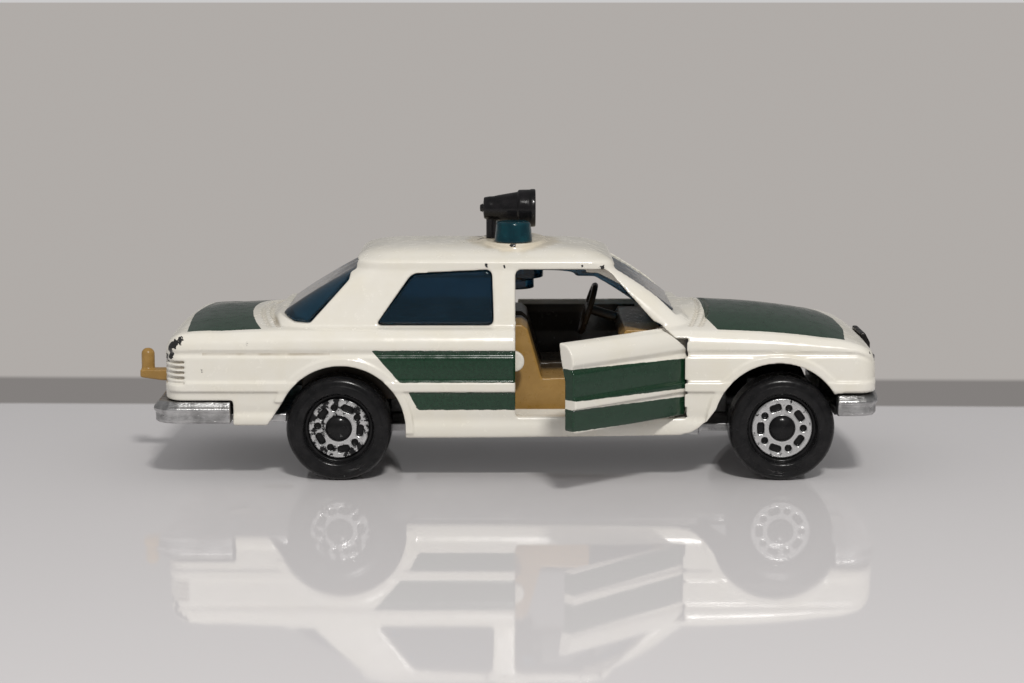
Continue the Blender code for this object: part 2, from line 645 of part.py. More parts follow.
def make_body():
    body = body_loft("body_shell", 0, paint)
    cabin = cabin_loft("cabin_outside", 0, DECK_HEIGHT - DECK_CROWN - 1.2 * MM)
    join(body, cabin)
    platform_outline = [
        (
            PLATFORM_CENTRE + PLATFORM_HALF_LENGTH * math.cos(a),
            PLATFORM_HALF_WIDTH * math.sin(a),
        )
        for a in (2 * math.pi * i / 28 for i in range(28))
    ]
    under = ROOF_HEIGHT - 1.4 * MM
    join(body, prism("roof_platform", platform_outline, "z", under, PLATFORM_HEIGHT))

    # Hollow, open below
    cut(body, body_loft("body_inside", WALL))
    cut(body, cabin_loft("cabin_inside", WALL, DECK_HEIGHT - DECK_CROWN - 2.2 * MM))

    # Openings in the sides, the screens and the arches
    for side in (-1, 1):
        near, far = across(side, ROOF_HALF_WIDTH - 1.15 * MM)
        name = "right" if side < 0 else "left"
        door_hole = rounded(side_outline_door(SEAM), 0.6 * MM)
        sill_inner = BODY_HALF_WIDTH - 3.35 * MM
        cut(body, prism("door_hole_" + name, door_hole, "y", *across(side, sill_inner)))
        cut(body, prism("front_window_" + name, rounded(front_window_outline(), 0.7 * MM), "y", near, far))
        cut(body, prism("rear_window_" + name, rounded(rear_window_outline(), 0.7 * MM), "y", near, far))

        # Round pockets that the leading edge and its strip turn in
        pocket = DOOR_PIVOT_DEPTH + DOOR_SWING_GAP
        pocket_top = hinge_top() + FIT + DOOR_SWING_GAP
        centre = (DOOR_PIVOT.x, side * -DOOR_PIVOT.y)
        cut(body, cylinder("door_pocket_" + name, centre, "z", pocket, DOOR_HEIGHT - SEAM, pocket_top, 32))
        proud = pocket + 1.5 * STRIP_PROUD
        low, high = STRIP_HEIGHT - SEAM, STRIP_HEIGHT + STRIP_WIDTH + SEAM
        cut(body, cylinder("strip_pocket_" + name, centre, "z", proud, low, high, 28))
    cut(body, screen_hole("windscreen_face", windscreen_outline(), CABIN_HALF_WIDTH + 3 * MM))
    cut(body, screen_hole("windscreen_hole", windscreen_outline(SCREEN_DEPTH), SCREEN_HALF_WIDTH))
    cut(body, screen_hole("rear_screen_face", rear_screen_outline(), CABIN_HALF_WIDTH + 3 * MM))
    cut(body, screen_hole("rear_screen_hole", rear_screen_outline(SCREEN_DEPTH), SCREEN_HALF_WIDTH))
    rear_centre, front_centre = REAR_AXLE + 0.3 * MM, FRONT_AXLE - 0.9 * MM
    cut(body, cylinder("arch_rear", (rear_centre, WHEEL_RADIUS), "y", REAR_ARCH_RADIUS, -FAR, FAR, 32))
    cut(body, cylinder("arch_front", (front_centre, WHEEL_RADIUS), "y", FRONT_ARCH_RADIUS, -FAR, FAR, 32))
    lip = REAR_ARCH_RADIUS * math.cos(math.radians(25))
    rise = REAR_ARCH_RADIUS * math.sin(math.radians(25))
    flare = [
        (rear_centre, WHEEL_RADIUS - 3 * MM),
        (rear_centre, WHEEL_RADIUS + rise),
        (rear_centre - lip, WHEEL_RADIUS + rise),
        (rear_centre - lip - 4.0 * MM, WHEEL_RADIUS + rise - 6 * MM),
    ]
    cut(body, prism("arch_flare", flare, "y", -FAR, FAR))

    # The bumpers, the lamps and the tow hook stand in notches at the ends
    rear_edge = REAR_BUMPER_HEIGHT + BUMPER_WIDTH + 0.15 * MM
    rear_notch = TAIL - REAR_BUMPER_REACH + REAR_BUMPER_LENGTH + SEAM
    cut(body, box("rear_notch", (-FAR, -FAR, -FAR), (rear_notch, FAR, rear_edge)))
    front_edge = FRONT_BUMPER_HEIGHT + BUMPER_WIDTH + 0.15 * MM
    front_notch = NOSE + FRONT_BUMPER_REACH - FRONT_BUMPER_LENGTH - SEAM
    cut(body, box("front_notch", (front_notch, -FAR, -FAR), (FAR, FAR, front_edge)))
    lamps = LAMP_HALF_WIDTH + FIT
    cut(body, box("lamp_hole", (NOSE - 2 * MM, -lamps, 0), (FAR, lamps, lamp_top() + FIT)))
    grille = GRILLE_HALF_WIDTH + FIT
    cut(body, box("grille_hole", (NOSE - 2 * MM, -grille, 0), (FAR, grille, grille_top() + FIT)))
    hook = HOOK_RADIUS + 0.25 * MM + FIT
    cut(body, box("hook_slot", (-FAR, -hook, 0), (TAIL + 2 * MM, hook, hook_arm_top() + FIT)))

    # Ribs of the tail lamps, grooved round each rear corner
    pitch, groove, count = 0.5 * MM, 0.2 * MM, 5
    for side in (-1, 1):
        name = "right" if side < 0 else "left"
        for i in range(count):
            z = STRIP_HEIGHT + STRIP_WIDTH + (i + 0.2) * pitch
            inner, outer = across(side, BODY_HALF_WIDTH - 3.4 * MM)
            rib = box("rib_%s_%d" % (name, i), (-FAR, inner, z), (TAIL + 2.4 * MM, outer, z + groove))
            cut(rib, ribs_inside)
            cut(body, rib)

    # Posts that rivet the base on, with their spread heads
    for name, x, pan in (("rear", REAR_POST, REAR_PAN_HEIGHT), ("front", FRONT_POST, FRONT_PAN_HEIGHT)):
        top = deck_top(x) - 0.5 * WALL
        join(body, cylinder("post_" + name, (x, 0), "z", POST_RADIUS, pan + 0.1 * MM, top))
        head = POST_RADIUS + POST_HEAD
        join(body, cylinder("head_" + name, (x, 0), "z", head, pan + 0.05 * MM, pan + 0.3 * MM))

    # Bosses that hold the door pins, and the holes for them
    for side in (-1, 1):
        name = "right" if side < 0 else "left"
        x, y = DOOR_PIVOT.x, -side * DOOR_PIVOT.y
        deep, outer = 1.3 * MM, 0.6 * MM
        y0, y1 = sorted((y - side * deep, y + side * outer))
        front = x + 2.2 * MM
        sill_low, sill_high = PLATE_TOP + 0.2 * MM, DOOR_HEIGHT - SEAM
        join(body, box("sill_boss_" + name, (x - 1.1 * MM, y0, sill_low), (front, y1, sill_high)))
        foot_low, foot_high = hinge_top() + FIT, hinge_top() + 0.9 * MM
        join(body, box("foot_boss_" + name, (x - 0.4 * MM, y0, foot_low), (front, y1, foot_high)))
        hole = DOOR_PIN_RADIUS + FIT
        pin_low, pin_high = pin_ends()
        cut(body, cylinder("pin_hole_" + name, (x, y), "z", hole, pin_low - FIT, pin_high + FIT, 12))

        # A half-round catch behind the door's free edge
        z, edge = CREASE_HEIGHT - 1.0 * MM, DOOR_REAR - SEAM
        skin = BODY_HALF_WIDTH - WALL
        y0, y1 = across(side, skin - 1.5 * MM, skin + 0.1 * MM)
        low, high = z - 1 * MM, z + 1 * MM
        block = box("catch_block_" + name, (edge - 2.2 * MM, y0, low), (edge - 0.1 * MM, y1, high))
        lug = BODY_HALF_WIDTH - DOOR_THICKNESS - 0.45 * MM
        y0, y1 = across(side, lug - 0.9 * MM, lug)
        half_round = cylinder("catch_" + name, (edge - 0.15 * MM, z), "y", 1.05 * MM, y0, y1, 20)
        join(body, block, half_round)

    # Holes for the stems of the beacons and the foot of the horn
    stem, low = BEACON_STEM_RADIUS + FIT, ROOF_HEIGHT - 3 * MM
    for y in (-BEACON_OFFSET, BEACON_OFFSET):
        cut(body, cylinder("stem_hole_%d" % (y > 0), (PLATFORM_CENTRE, y), "z", stem, low, FAR, 14))
    foot, low = HORN_FOOT_RADIUS + FIT, PLATFORM_HEIGHT - 0.5 * MM
    cut(body, cylinder("horn_hole", (horn_foot_x(), 0), "z", foot, low, FAR, 10))
    smooth(body, 28)
    return body


def hinge_top():
    return CREASE_HEIGHT + 1.3 * MM


def pin_ends():
    return DOOR_HEIGHT - SEAM - 1.0 * MM, hinge_top() + 0.45 * MM


def lamp_top():
    return deck_top(NOSE) + 0.5 * MM


def grille_top():
    return deck_top(NOSE) + 2.2 * MM


def hook_arm_top():
    return HOOK_HEIGHT - 2.3 * MM


def horn_foot_x():
    return PLATFORM_CENTRE - 2.4 * MM


def make_door(side, mat):
    # Cut from the same outer form as the body, then moved so that its origin is on the hinge axis
    name = "door_right" if side < 0 else "door_left"
    block = body_loft(name + "_block", 0)
    outline = rounded(side_outline_door(0), 0.6 * MM)
    boolean(block, prism(name + "_outline", outline, "y", -FAR, FAR), "INTERSECT")
    inner = BODY_HALF_WIDTH - DOOR_THICKNESS
    band = [
        (-FAR, DOOR_HEIGHT - 1 * MM),
        (-FAR, DOOR_TOP + 1 * MM),
        (-(inner - 1.0 * MM), DOOR_TOP + 1 * MM),
        (-(inner - 0.6 * MM), CREASE_HEIGHT + 1.0 * MM),
        (-inner, CREASE_HEIGHT - 1.2 * MM),
        (-inner, DOOR_HEIGHT - 1 * MM),
    ]
    boolean(block, prism(name + "_band", band, "x", -FAR, FAR), "INTERSECT")

    # The leading edge is part of a cylinder about the hinge, so that it turns inside its pocket
    pivot = DOOR_PIVOT
    nose = cylinder(name + "_nose", pivot.xy, "z", DOOR_PIVOT_DEPTH, -FAR, FAR, 48)
    rest = box(name + "_rest", (-FAR, -FAR, -FAR), (pivot.x, FAR, FAR))
    join(nose, rest)
    boolean(block, nose, "INTERSECT")
    pin_low, pin_high = pin_ends()
    top = hinge_top() - 0.75 * MM
    barrel = cylinder(name + "_barrel", pivot.xy, "z", DOOR_BARREL_RADIUS, DOOR_HEIGHT, top, 14)
    pin = cylinder(name + "_pin", pivot.xy, "z", DOOR_PIN_RADIUS, pin_low, pin_high, 12)
    join(block, barrel, pin)

    offset = Matrix.Translation(-pivot)
    flip = Matrix.Diagonal((1, -1, 1, 1))
    door = baked(block, name, mat, (flip @ offset) if side > 0 else offset)
    door.location = (pivot.x, side * -pivot.y, 0)
    if side < 0:
        door.rotation_euler.z = DOOR_OPEN_ANGLE
    smooth(door, 28)
    return door


def make_glazing():
    glass = cabin_loft("glazing", WALL + FIT, WINDOW_SILL_HEIGHT - 0.6 * MM, blue)
    pads = []
    for side in (-1, 1):
        near, far = across(side, ROOF_HALF_WIDTH - 1.75 * MM)
        name = "right" if side < 0 else "left"
        pane = rounded(rear_window_outline(-FIT), 0.6 * MM)
        pads.append(prism("rear_pad_" + name, pane, "y", near, far))
    wide = CABIN_HALF_WIDTH + 3 * MM
    deep = SCREEN_DEPTH
    pads.append(screen_hole("windscreen_pad", windscreen_outline(deep, FIT), SCREEN_HALF_WIDTH - FIT))
    pads.append(screen_hole("windscreen_face_pad", windscreen_outline(0, FIT), wide))
    pads.append(screen_hole("rear_screen_pad", rear_screen_outline(deep, FIT), SCREEN_HALF_WIDTH - FIT))
    pads.append(screen_hole("rear_screen_face_pad", rear_screen_outline(0, FIT), wide))
    for pad in pads:
        boolean(pad, glass_outside, "INTERSECT")
        join(glass, pad)
    cut(glass, cabin_loft("glazing_inside", WALL + FIT + 0.9 * MM, 0))
    for y in (-BEACON_OFFSET, BEACON_OFFSET):
        place, top = (PLATFORM_CENTRE, y), WINDOW_TOP_HEIGHT + 0.4 * MM
        wide, low = BOSS_RADIUS + BOSS_FLANGE, WINDOW_TOP_HEIGHT - 1.3 * MM
        flange = cylinder("boss_flange_%d" % (y > 0), place, "z", wide, low, top, 14)
        boss = cylinder("boss_%d" % (y > 0), place, "z", BOSS_RADIUS, low - 1.2 * MM, top, 12)
        join(glass, flange, boss)

    # Nothing is glazed between the pillars of the doors, and the roof's skin joins both ends
    foot = WINDOW_SILL_HEIGHT - 1.2 * MM
    for side in (-1, 1):
        near, far = across(side, ROOF_HALF_WIDTH - 2.75 * MM)
        name = "right" if side < 0 else "left"
        hole = rounded(front_window_outline(0.0, foot), 0.7 * MM)
        cut(glass, prism("front_gap_" + name, hole, "y", near, far))
    return glass


def make_wheel(name, axle, side):
    # Tyre and hub are one moulding; its recesses are left black by the foil on the hub's face
    face, back = 0.0, -WHEEL_WIDTH
    profile = [
        (0, face - 0.15 * MM),
        (DOME_RADIUS * 0.6, face - 0.22 * MM),
        (DOME_RADIUS, face - 0.55 * MM),
        (DOME_RADIUS + 0.1 * MM, face - HUB_RECESS - 0.15 * MM),
        (HUB_RADIUS, face - HUB_RECESS - 0.15 * MM),
        (HUB_RADIUS + 0.1 * MM, face - HUB_RECESS - 0.45 * MM),
        (WELL_RADIUS - 0.25 * MM, face - HUB_RECESS - 0.45 * MM),
        (WELL_RADIUS, face),
        (WHEEL_RADIUS - 0.8 * MM, face - 0.1 * MM),
        (WHEEL_RADIUS - 0.25 * MM, face - 0.55 * MM),
        (WHEEL_RADIUS, face - 1.2 * MM),
        (WHEEL_RADIUS, back + 0.6 * MM),
        (WHEEL_RADIUS - 0.35 * MM, back),
        (WHEEL_RADIUS - 1.3 * MM, back),
        (WHEEL_RADIUS - 1.5 * MM, back + 1.2 * MM),
        (AXLE_RADIUS + 0.8 * MM, back + 1.2 * MM),
        (AXLE_RADIUS + 0.8 * MM, back),
        (AXLE_RADIUS + 0.1 * MM, back),
        (AXLE_RADIUS + 0.1 * MM, face - 1.2 * MM),
        (0, face - 1.2 * MM),
    ]
    blank = turned(name + "_blank", profile, 24)
    ring = (DOME_RADIUS + HUB_RADIUS) / 2
    floor = face - HUB_RECESS - 0.35 * MM
    for i in range(SLOT_COUNT):
        a = 2 * math.pi * i / SLOT_COUNT
        b = a + math.pi / SLOT_COUNT
        dot = (ring * math.cos(a), ring * math.sin(a))
        cut(blank, cylinder("%s_dot_%d" % (name, i), dot, "z", 0.28 * MM, floor, FAR, 6))
        dash = []
        for r, turn in ((-0.3, -0.22), (0.3, -0.2), (0.3, 0.2), (-0.3, 0.22)):
            reach = ring + r * MM
            dash.append((reach * math.cos(b + turn), reach * math.sin(b + turn)))
        cut(blank, prism("%s_dash_%d" % (name, i), dash, "z", floor, FAR))
    outward = Matrix.Rotation(math.radians(-90 * side), 4, "X")
    wheel = baked(blank, name, black, outward)
    wheel.location = (axle, side * WHEEL_FACE, WHEEL_RADIUS)
    smooth(wheel, 35)
    return wheel


def make_axle(name, x):
    reach = WHEEL_FACE - 1.2 * MM - FIT
    axle = cylinder(name + "_rod", (0, 0), "y", AXLE_RADIUS, -reach, reach, 16, steel)
    axle.name = name
    axle.location = (x, 0, WHEEL_RADIUS)
    smooth(axle, 35)
    return axle


def make_spring(name, x, direction):
    # A strip of spring steel, held in its pad at one end and lying on the axle at the other
    low = WHEEL_RADIUS + AXLE_RADIUS + 0.1 * MM
    x0, x1 = sorted((x - direction * 0.9 * MM, x + direction * SPRING_LENGTH))
    half = SPRING_WIDTH / 2
    return box(name, (x0, -half, low), (x1, half, low + SPRING_THICKNESS), steel)


def bumper_path(face, length, sign):
    # Half of the plan, from one tip round the corner to the middle
    corner = BUMPER_HALF_WIDTH
    tip = face - sign * length
    radius = 2.2 * MM
    path = [(tip, corner), (tip + sign * 0.5 * (length - radius), corner)]
    for s in range(5):
        a = math.pi / 2 * s / 4
        behind = 0.7 * MM + radius * (1 - math.sin(a))
        path.append((face - sign * behind, corner - radius * (1 - math.cos(a))))
    path.append((face - sign * 0.15 * MM, corner * 0.45))
    path.append((face, 0))
    return path


def make_bumper(name, face, length, height, sign):
    half = bumper_path(face, length, sign)
    path = half + [(x, -y) for x, y in reversed(half[:-1])]
    top = height + BUMPER_WIDTH
    mid = height + 0.62 * BUMPER_WIDTH
    depth = BUMPER_DEPTH
    section = [
        (0.25 * depth, height),
        (0, height + 0.25 * MM),
        (0, mid - 0.25 * MM),
        (-0.2 * MM, mid - 0.1 * MM),
        (-0.2 * MM, mid + 0.2 * MM),
        (0, mid + 0.35 * MM),
        (0.3 * depth, top),
        (depth, top),
        (depth, height),
    ]
    rings = []
    for i, (x, y) in enumerate(path):
        before, after = path[max(i - 1, 0)], path[min(i + 1, len(path) - 1)]
        along = Vector((after[0] - before[0], after[1] - before[1])).normalized()
        inward = Vector((along.y, -along.x)) * sign
        rings.append([(x + inward.x * d, y + inward.y * d, z) for d, z in section])
    return loft(name, rings)


def make_base():
    arch = WHEEL_RADIUS + 0.9 * MM
    narrow = WHEEL_BACK - 0.4 * MM
    wide = PLATE_HALF_WIDTH
    tail_wide = BODY_HALF_WIDTH - WALL - 0.5 * MM
    rear_step, front_step = REAR_AXLE - WHEEL_RADIUS + 0.2 * MM, FRONT_AXLE + WHEEL_RADIUS - 0.2 * MM
    rear_bay, front_bay = REAR_AXLE + arch + 1.2 * MM, FRONT_AXLE - arch - 2.1 * MM
    base = box("base_plate", (rear_step, -narrow, BASE_HEIGHT), (front_step, narrow, PLATE_TOP), zinc)
    join(base, box("plate_sides", (rear_bay, -wide, BASE_HEIGHT), (front_bay, wide, PLATE_TOP)))

    # The pans at the ends are higher, and a wall joins each to the plate
    rear_pan_top = REAR_PAN_HEIGHT + PAN_THICKNESS
    front_pan_top = FRONT_PAN_HEIGHT + PAN_THICKNESS
    wall_half, wall_low = narrow - 0.1 * MM, BASE_HEIGHT + 0.1 * MM
    walls = (("rear", rear_step, -1, rear_pan_top), ("front", front_step, 1, front_pan_top))
    for name, step, sign, top in walls:
        x0, x1 = sorted((step - sign * 0.4 * MM, step + sign * 0.5 * MM))
        join(base, box(name + "_wall", (x0, -wall_half, wall_low), (x1, wall_half, top)))
    pans = (
        ("rear_pan", TAIL + 0.3 * MM, rear_step - 0.2 * MM, REAR_PAN_HEIGHT, rear_pan_top - 0.05 * MM),
        ("front_pan", front_step + 0.2 * MM, NOSE - 0.4 * MM, FRONT_PAN_HEIGHT, front_pan_top - 0.05 * MM),
    )
    for name, x0, x1, z0, z1 in pans:
        join(base, box(name, (x0, -tail_wide, z0), (x1, tail_wide, z1)))

    # Bumpers
    rear_face, front_face = TAIL - REAR_BUMPER_REACH, NOSE + FRONT_BUMPER_REACH
    link_half = BODY_HALF_WIDTH - CORNER_WIDTH - 0.95 * MM
    join(base, make_bumper("rear_bumper", rear_face, REAR_BUMPER_LENGTH, REAR_BUMPER_HEIGHT, -1))
    join(base, make_bumper("front_bumper", front_face, FRONT_BUMPER_LENGTH, FRONT_BUMPER_HEIGHT, 1))
    links = (
        ("rear_link", rear_face + 0.5 * MM, TAIL + 0.6 * MM, REAR_BUMPER_HEIGHT, rear_pan_top),
        ("front_link", NOSE - 0.6 * MM, front_face - 0.5 * MM, FRONT_BUMPER_HEIGHT, front_pan_top),
    )
    for name, x0, x1, z0, z1 in links:
        join(base, box(name, (x0, -link_half, z0 + 0.1 * MM), (x1, link_half, z1 - 0.1 * MM)))

    # Radiator shell and lamp panels, rising from the front pan through the nose
    lamp_half, grille_half = LAMP_HALF_WIDTH, GRILLE_HALF_WIDTH
    back = NOSE - 1.6 * MM
    lamp_view = [
        (back, FRONT_PAN_HEIGHT + 0.2 * MM),
        (back, lamp_top()),
        (NOSE - 0.9 * MM, lamp_top()),
        (NOSE - 0.45 * MM, lamp_top() - 0.3 * MM),
        (NOSE - 0.3 * MM, FRONT_PAN_HEIGHT + 0.2 * MM),
    ]
    join(base, prism("lamp_panel", lamp_view, "y", -lamp_half, lamp_half))
    shell_view = [
        (back - 0.05 * MM, FRONT_PAN_HEIGHT + 0.3 * MM),
        (back - 0.05 * MM, grille_top()),
        (NOSE - 1.0 * MM, grille_top()),
        (NOSE - 0.2 * MM, grille_top() - 0.5 * MM),
        (NOSE + 0.6 * MM, grille_top() - 2.0 * MM),
        (NOSE + 0.6 * MM, FRONT_PAN_HEIGHT + 0.3 * MM),
    ]
    join(base, prism("radiator", shell_view, "y", -grille_half, grille_half))
    low = FRONT_BUMPER_HEIGHT + BUMPER_WIDTH + 0.35 * MM
    for side in (-1, 1):
        inner, outer = across(side, grille_half + 0.5 * MM, lamp_half - 0.35 * MM)
        name = "right" if side < 0 else "left"
        lens_top = lamp_top() - 0.5 * MM
        join(base, box("head_lamp_" + name, (NOSE - 0.9 * MM, inner, low), (NOSE, outer, lens_top)))
    slats = 5
    pitch = (grille_top() - 1.9 * MM - low) / slats
    for i in range(slats):
        z = low + i * pitch
        reach = grille_half - 0.4 * MM
        cut(base, box("grille_slot_%d" % i, (NOSE + 0.3 * MM, -reach, z), (FAR, reach, z + 0.55 * pitch)))

    # Bearing walls: each axle stands in two open slots and can rise in them
    for name, x in (("rear", REAR_AXLE), ("front", FRONT_AXLE)):
        top = WHEEL_RADIUS + AXLE_RADIUS + AXLE_TRAVEL + 1.0 * MM
        foot, reach = PLATE_TOP - 0.3 * MM, 1.7 * MM
        for side in (-1, 1):
            y0, y1 = across(side, BEARING_OFFSET - 0.45 * MM, BEARING_OFFSET + 0.45 * MM)
            wall = box("bearing_%s_%d" % (name, side > 0), (x - reach, y0, foot), (x + reach, y1, top))
            join(base, wall)
        slot = AXLE_RADIUS + FIT
        groove = WHEEL_RADIUS - AXLE_RADIUS - FIT
        cut(base, box("axle_slot_" + name, (x - slot, -FAR, groove), (x + slot, FAR, FAR / 4)))

    # Pads that hold the springs
    for name, x, direction in (("rear", REAR_AXLE, 1), ("front", FRONT_AXLE, -1)):
        low = WHEEL_RADIUS + AXLE_RADIUS + 0.1 * MM
        tip = x + direction * (SPRING_LENGTH - 1.4 * MM)
        end = x + direction * (SPRING_LENGTH + 0.7 * MM)
        x0, x1 = sorted((tip, end))
        half = SPRING_WIDTH / 2 + 0.6 * MM
        foot, top = PLATE_TOP - 0.3 * MM, low + SPRING_THICKNESS + 0.9 * MM
        join(base, box("spring_pad_" + name, (x0, -half, foot), (x1, half, top)))
        s0, s1 = sorted((tip - direction * 1 * MM, x + direction * (SPRING_LENGTH + 0.1 * MM)))
        gap = 0.1 * MM
        slit = box(
            "spring_slit_" + name,
            (s0, -SPRING_WIDTH / 2 - gap, low - gap),
            (s1, SPRING_WIDTH / 2 + gap, low + SPRING_THICKNESS + gap),
        )
        cut(base, slit)

    # Holes and sinkings for the riveted posts
    for name, x, pan in (("rear", REAR_POST, REAR_PAN_HEIGHT), ("front", FRONT_POST, FRONT_PAN_HEIGHT)):
        low, hole = pan - 2 * MM, POST_RADIUS + FIT
        cut(base, cylinder("post_hole_" + name, (x, 0), "z", hole, low, pan + 4 * MM))
        sinking, high = hole + POST_HEAD, pan + 0.45 * MM
        cut(base, cylinder("head_sinking_" + name, (x, 0), "z", sinking, low, high))
    smooth(base, 28)
    return base


def slab(name, side_view, y0, y1):
    return prism(name, side_view, "y", y0, y1)


def make_interior():
    # One moulding: floor, seats, dashboard, steering wheel, parcel shelf and tow hook
    floor_low = PLATE_TOP + SEAM
    floor_top = floor_low + FLOOR_THICKNESS
    half = FLOOR_HALF_WIDTH
    rear_end = REAR_AXLE + SPRING_LENGTH + 1.3 * MM
    front_end = DOOR_FRONT - 0.8 * MM
    inner = box("interior", (rear_end, -half, floor_low), (front_end, half, floor_top), tan)
    seat = SEAT_WIDTH / 2
    lean = BACKREST_LEAN
    cushion_front = DOOR_REAR + CUSHION_REACH
    back_foot = DOOR_REAR + BACKREST_REACH
    for side in (-1, 1):
        y0, y1 = side * SEAT_CENTRE - seat, side * SEAT_CENTRE + seat
        name = "right" if side < 0 else "left"
        view = [
            (back_foot - 3.0 * MM, floor_top - 0.3 * MM),
            (cushion_front, floor_top - 0.3 * MM),
            (cushion_front, CUSHION_HEIGHT - 0.2 * MM),
            (cushion_front - 0.8 * MM, CUSHION_HEIGHT + 0.15 * MM),
            (back_foot, CUSHION_HEIGHT),
            (back_foot - lean + 0.2 * MM, BACKREST_HEIGHT - 0.5 * MM),
            (back_foot - lean - 0.4 * MM, BACKREST_HEIGHT),
            (back_foot - lean - 1.8 * MM, BACKREST_HEIGHT),
            (back_foot - lean - 2.3 * MM, BACKREST_HEIGHT - 0.6 * MM),
        ]
        join(inner, slab("seat_" + name, view, y0, y1))
    bench_front = REAR_AXLE + 9.5 * MM
    axle_room = WHEEL_RADIUS + AXLE_RADIUS + AXLE_TRAVEL + BENCH_ROOM
    bench = [
        (bench_front, floor_top - 0.3 * MM),
        (bench_front, CUSHION_HEIGHT + 0.3 * MM),
        (bench_front - 4.0 * MM, CUSHION_HEIGHT + 0.1 * MM),
        (bench_front - 5.4 * MM, BACKREST_HEIGHT - 1.1 * MM),
        (CABIN_REAR + 5.0 * MM, BACKREST_HEIGHT - 1.2 * MM),
        (CABIN_REAR + 4.0 * MM, hook_arm_top()),
        (CABIN_REAR + 4.0 * MM, axle_room),
        (rear_end + 0.4 * MM, axle_room),
        (rear_end + 0.4 * MM, floor_top - 0.3 * MM),
    ]
    bench_half = WHEEL_BACK - 0.5 * MM
    join(inner, slab("rear_bench", bench, -bench_half, bench_half))
    dash_top = DOOR_TOP - 0.6 * MM
    dash = [
        (front_end - 0.4 * MM, floor_top - 0.3 * MM),
        (front_end - 0.4 * MM, dash_top),
        (front_end - 4.6 * MM, dash_top),
        (front_end - 5.2 * MM, dash_top - 1.0 * MM),
        (front_end - 4.4 * MM, dash_top - 3.0 * MM),
        (front_end - 1.4 * MM, dash_top - 3.6 * MM),
        (front_end - 1.4 * MM, floor_top - 0.3 * MM),
    ]
    join(inner, slab("dashboard", dash, -half + 0.3 * MM, half - 0.3 * MM))

    # Steering wheel in front of the left seat
    hub = Vector((cushion_front + 0.2 * MM, SEAT_CENTRE, dash_top + 0.3 * MM))
    tilt = Matrix.Rotation(math.radians(107), 4, "Y")
    place = Matrix.Translation(hub) @ tilt
    bpy.ops.mesh.primitive_torus_add(
        major_segments=18,
        minor_segments=6,
        major_radius=STEERING_RADIUS,
        minor_radius=STEERING_RIM,
    )
    ring = bpy.context.object
    rim = add("steering_rim", ring.data)
    bpy.data.objects.remove(ring)
    rim.data.transform(place)
    spoke = Vector((0.4 * MM, STEERING_RADIUS, 0.25 * MM))
    spokes = box("spokes", -spoke, spoke)
    spokes.data.transform(place)
    column = cylinder("column", (0, 0), "z", 0.55 * MM, -0.3 * MM, 4.0 * MM, 12)
    column.data.transform(place)
    join(inner, rim, spokes, column)

    # Tow hook on a tongue that leaves through the tail
    arm_top = hook_arm_top()
    low, high = arm_top - 1.4 * MM, arm_top - 0.1 * MM
    tongue = box("tongue", (TAIL + 1.0 * MM, -3.0 * MM, low), (CABIN_REAR + 5.0 * MM, 3.0 * MM, high))
    arm_half = HOOK_RADIUS + 0.25 * MM
    arm = [
        (TAIL + 1.6 * MM, arm_top - 1.5 * MM),
        (TAIL + 1.6 * MM, arm_top),
        (HOOK_END, arm_top),
        (HOOK_END, arm_top - 0.85 * MM),
        (TAIL - 1.9 * MM, arm_top - 1.2 * MM),
        (TAIL - 0.2 * MM, arm_top - 1.2 * MM),
        (TAIL + 0.6 * MM, arm_top - 1.5 * MM),
    ]
    post_x = HOOK_END + HOOK_RADIUS + 0.05 * MM
    profile = [
        (0, HOOK_HEIGHT),
        (HOOK_RADIUS * 0.5, HOOK_HEIGHT - 0.06 * MM),
        (HOOK_RADIUS * 0.87, HOOK_HEIGHT - 0.3 * MM),
        (HOOK_RADIUS, HOOK_HEIGHT - 0.55 * MM),
        (HOOK_RADIUS, arm_top - 0.2 * MM),
        (0, arm_top - 0.2 * MM),
    ]
    post = turned("hook_post", profile, 24)
    post.location.x = post_x
    join(inner, tongue, slab("hook_arm", arm, -arm_half, arm_half), post)
    cut(inner, cylinder("tongue_hole", (REAR_POST, 0), "z", POST_RADIUS + 0.3 * MM, 0, 12 * MM))
    smooth(inner, 28)
    return inner


def make_beacon(name, y):
    # A lens with a stem that passes down through the roof
    r, top = BEACON_RADIUS, PLATFORM_HEIGHT + 0.1 * MM + BEACON_HEIGHT
    low = PLATFORM_HEIGHT + 0.1 * MM
    profile = [
        (0, top),
        (r * 0.82, top - 0.05 * MM),
        (r * 0.92, top - 0.3 * MM),
        (r, low),
        (BEACON_STEM_RADIUS, low),
        (BEACON_STEM_RADIUS, ROOF_HEIGHT - 2.6 * MM),
        (0, ROOF_HEIGHT - 2.6 * MM),
    ]
    lens = turned(name, profile, 22, teal)
    lens.location = (PLATFORM_CENTRE, y, 0)
    smooth(lens, 35)
    return lens


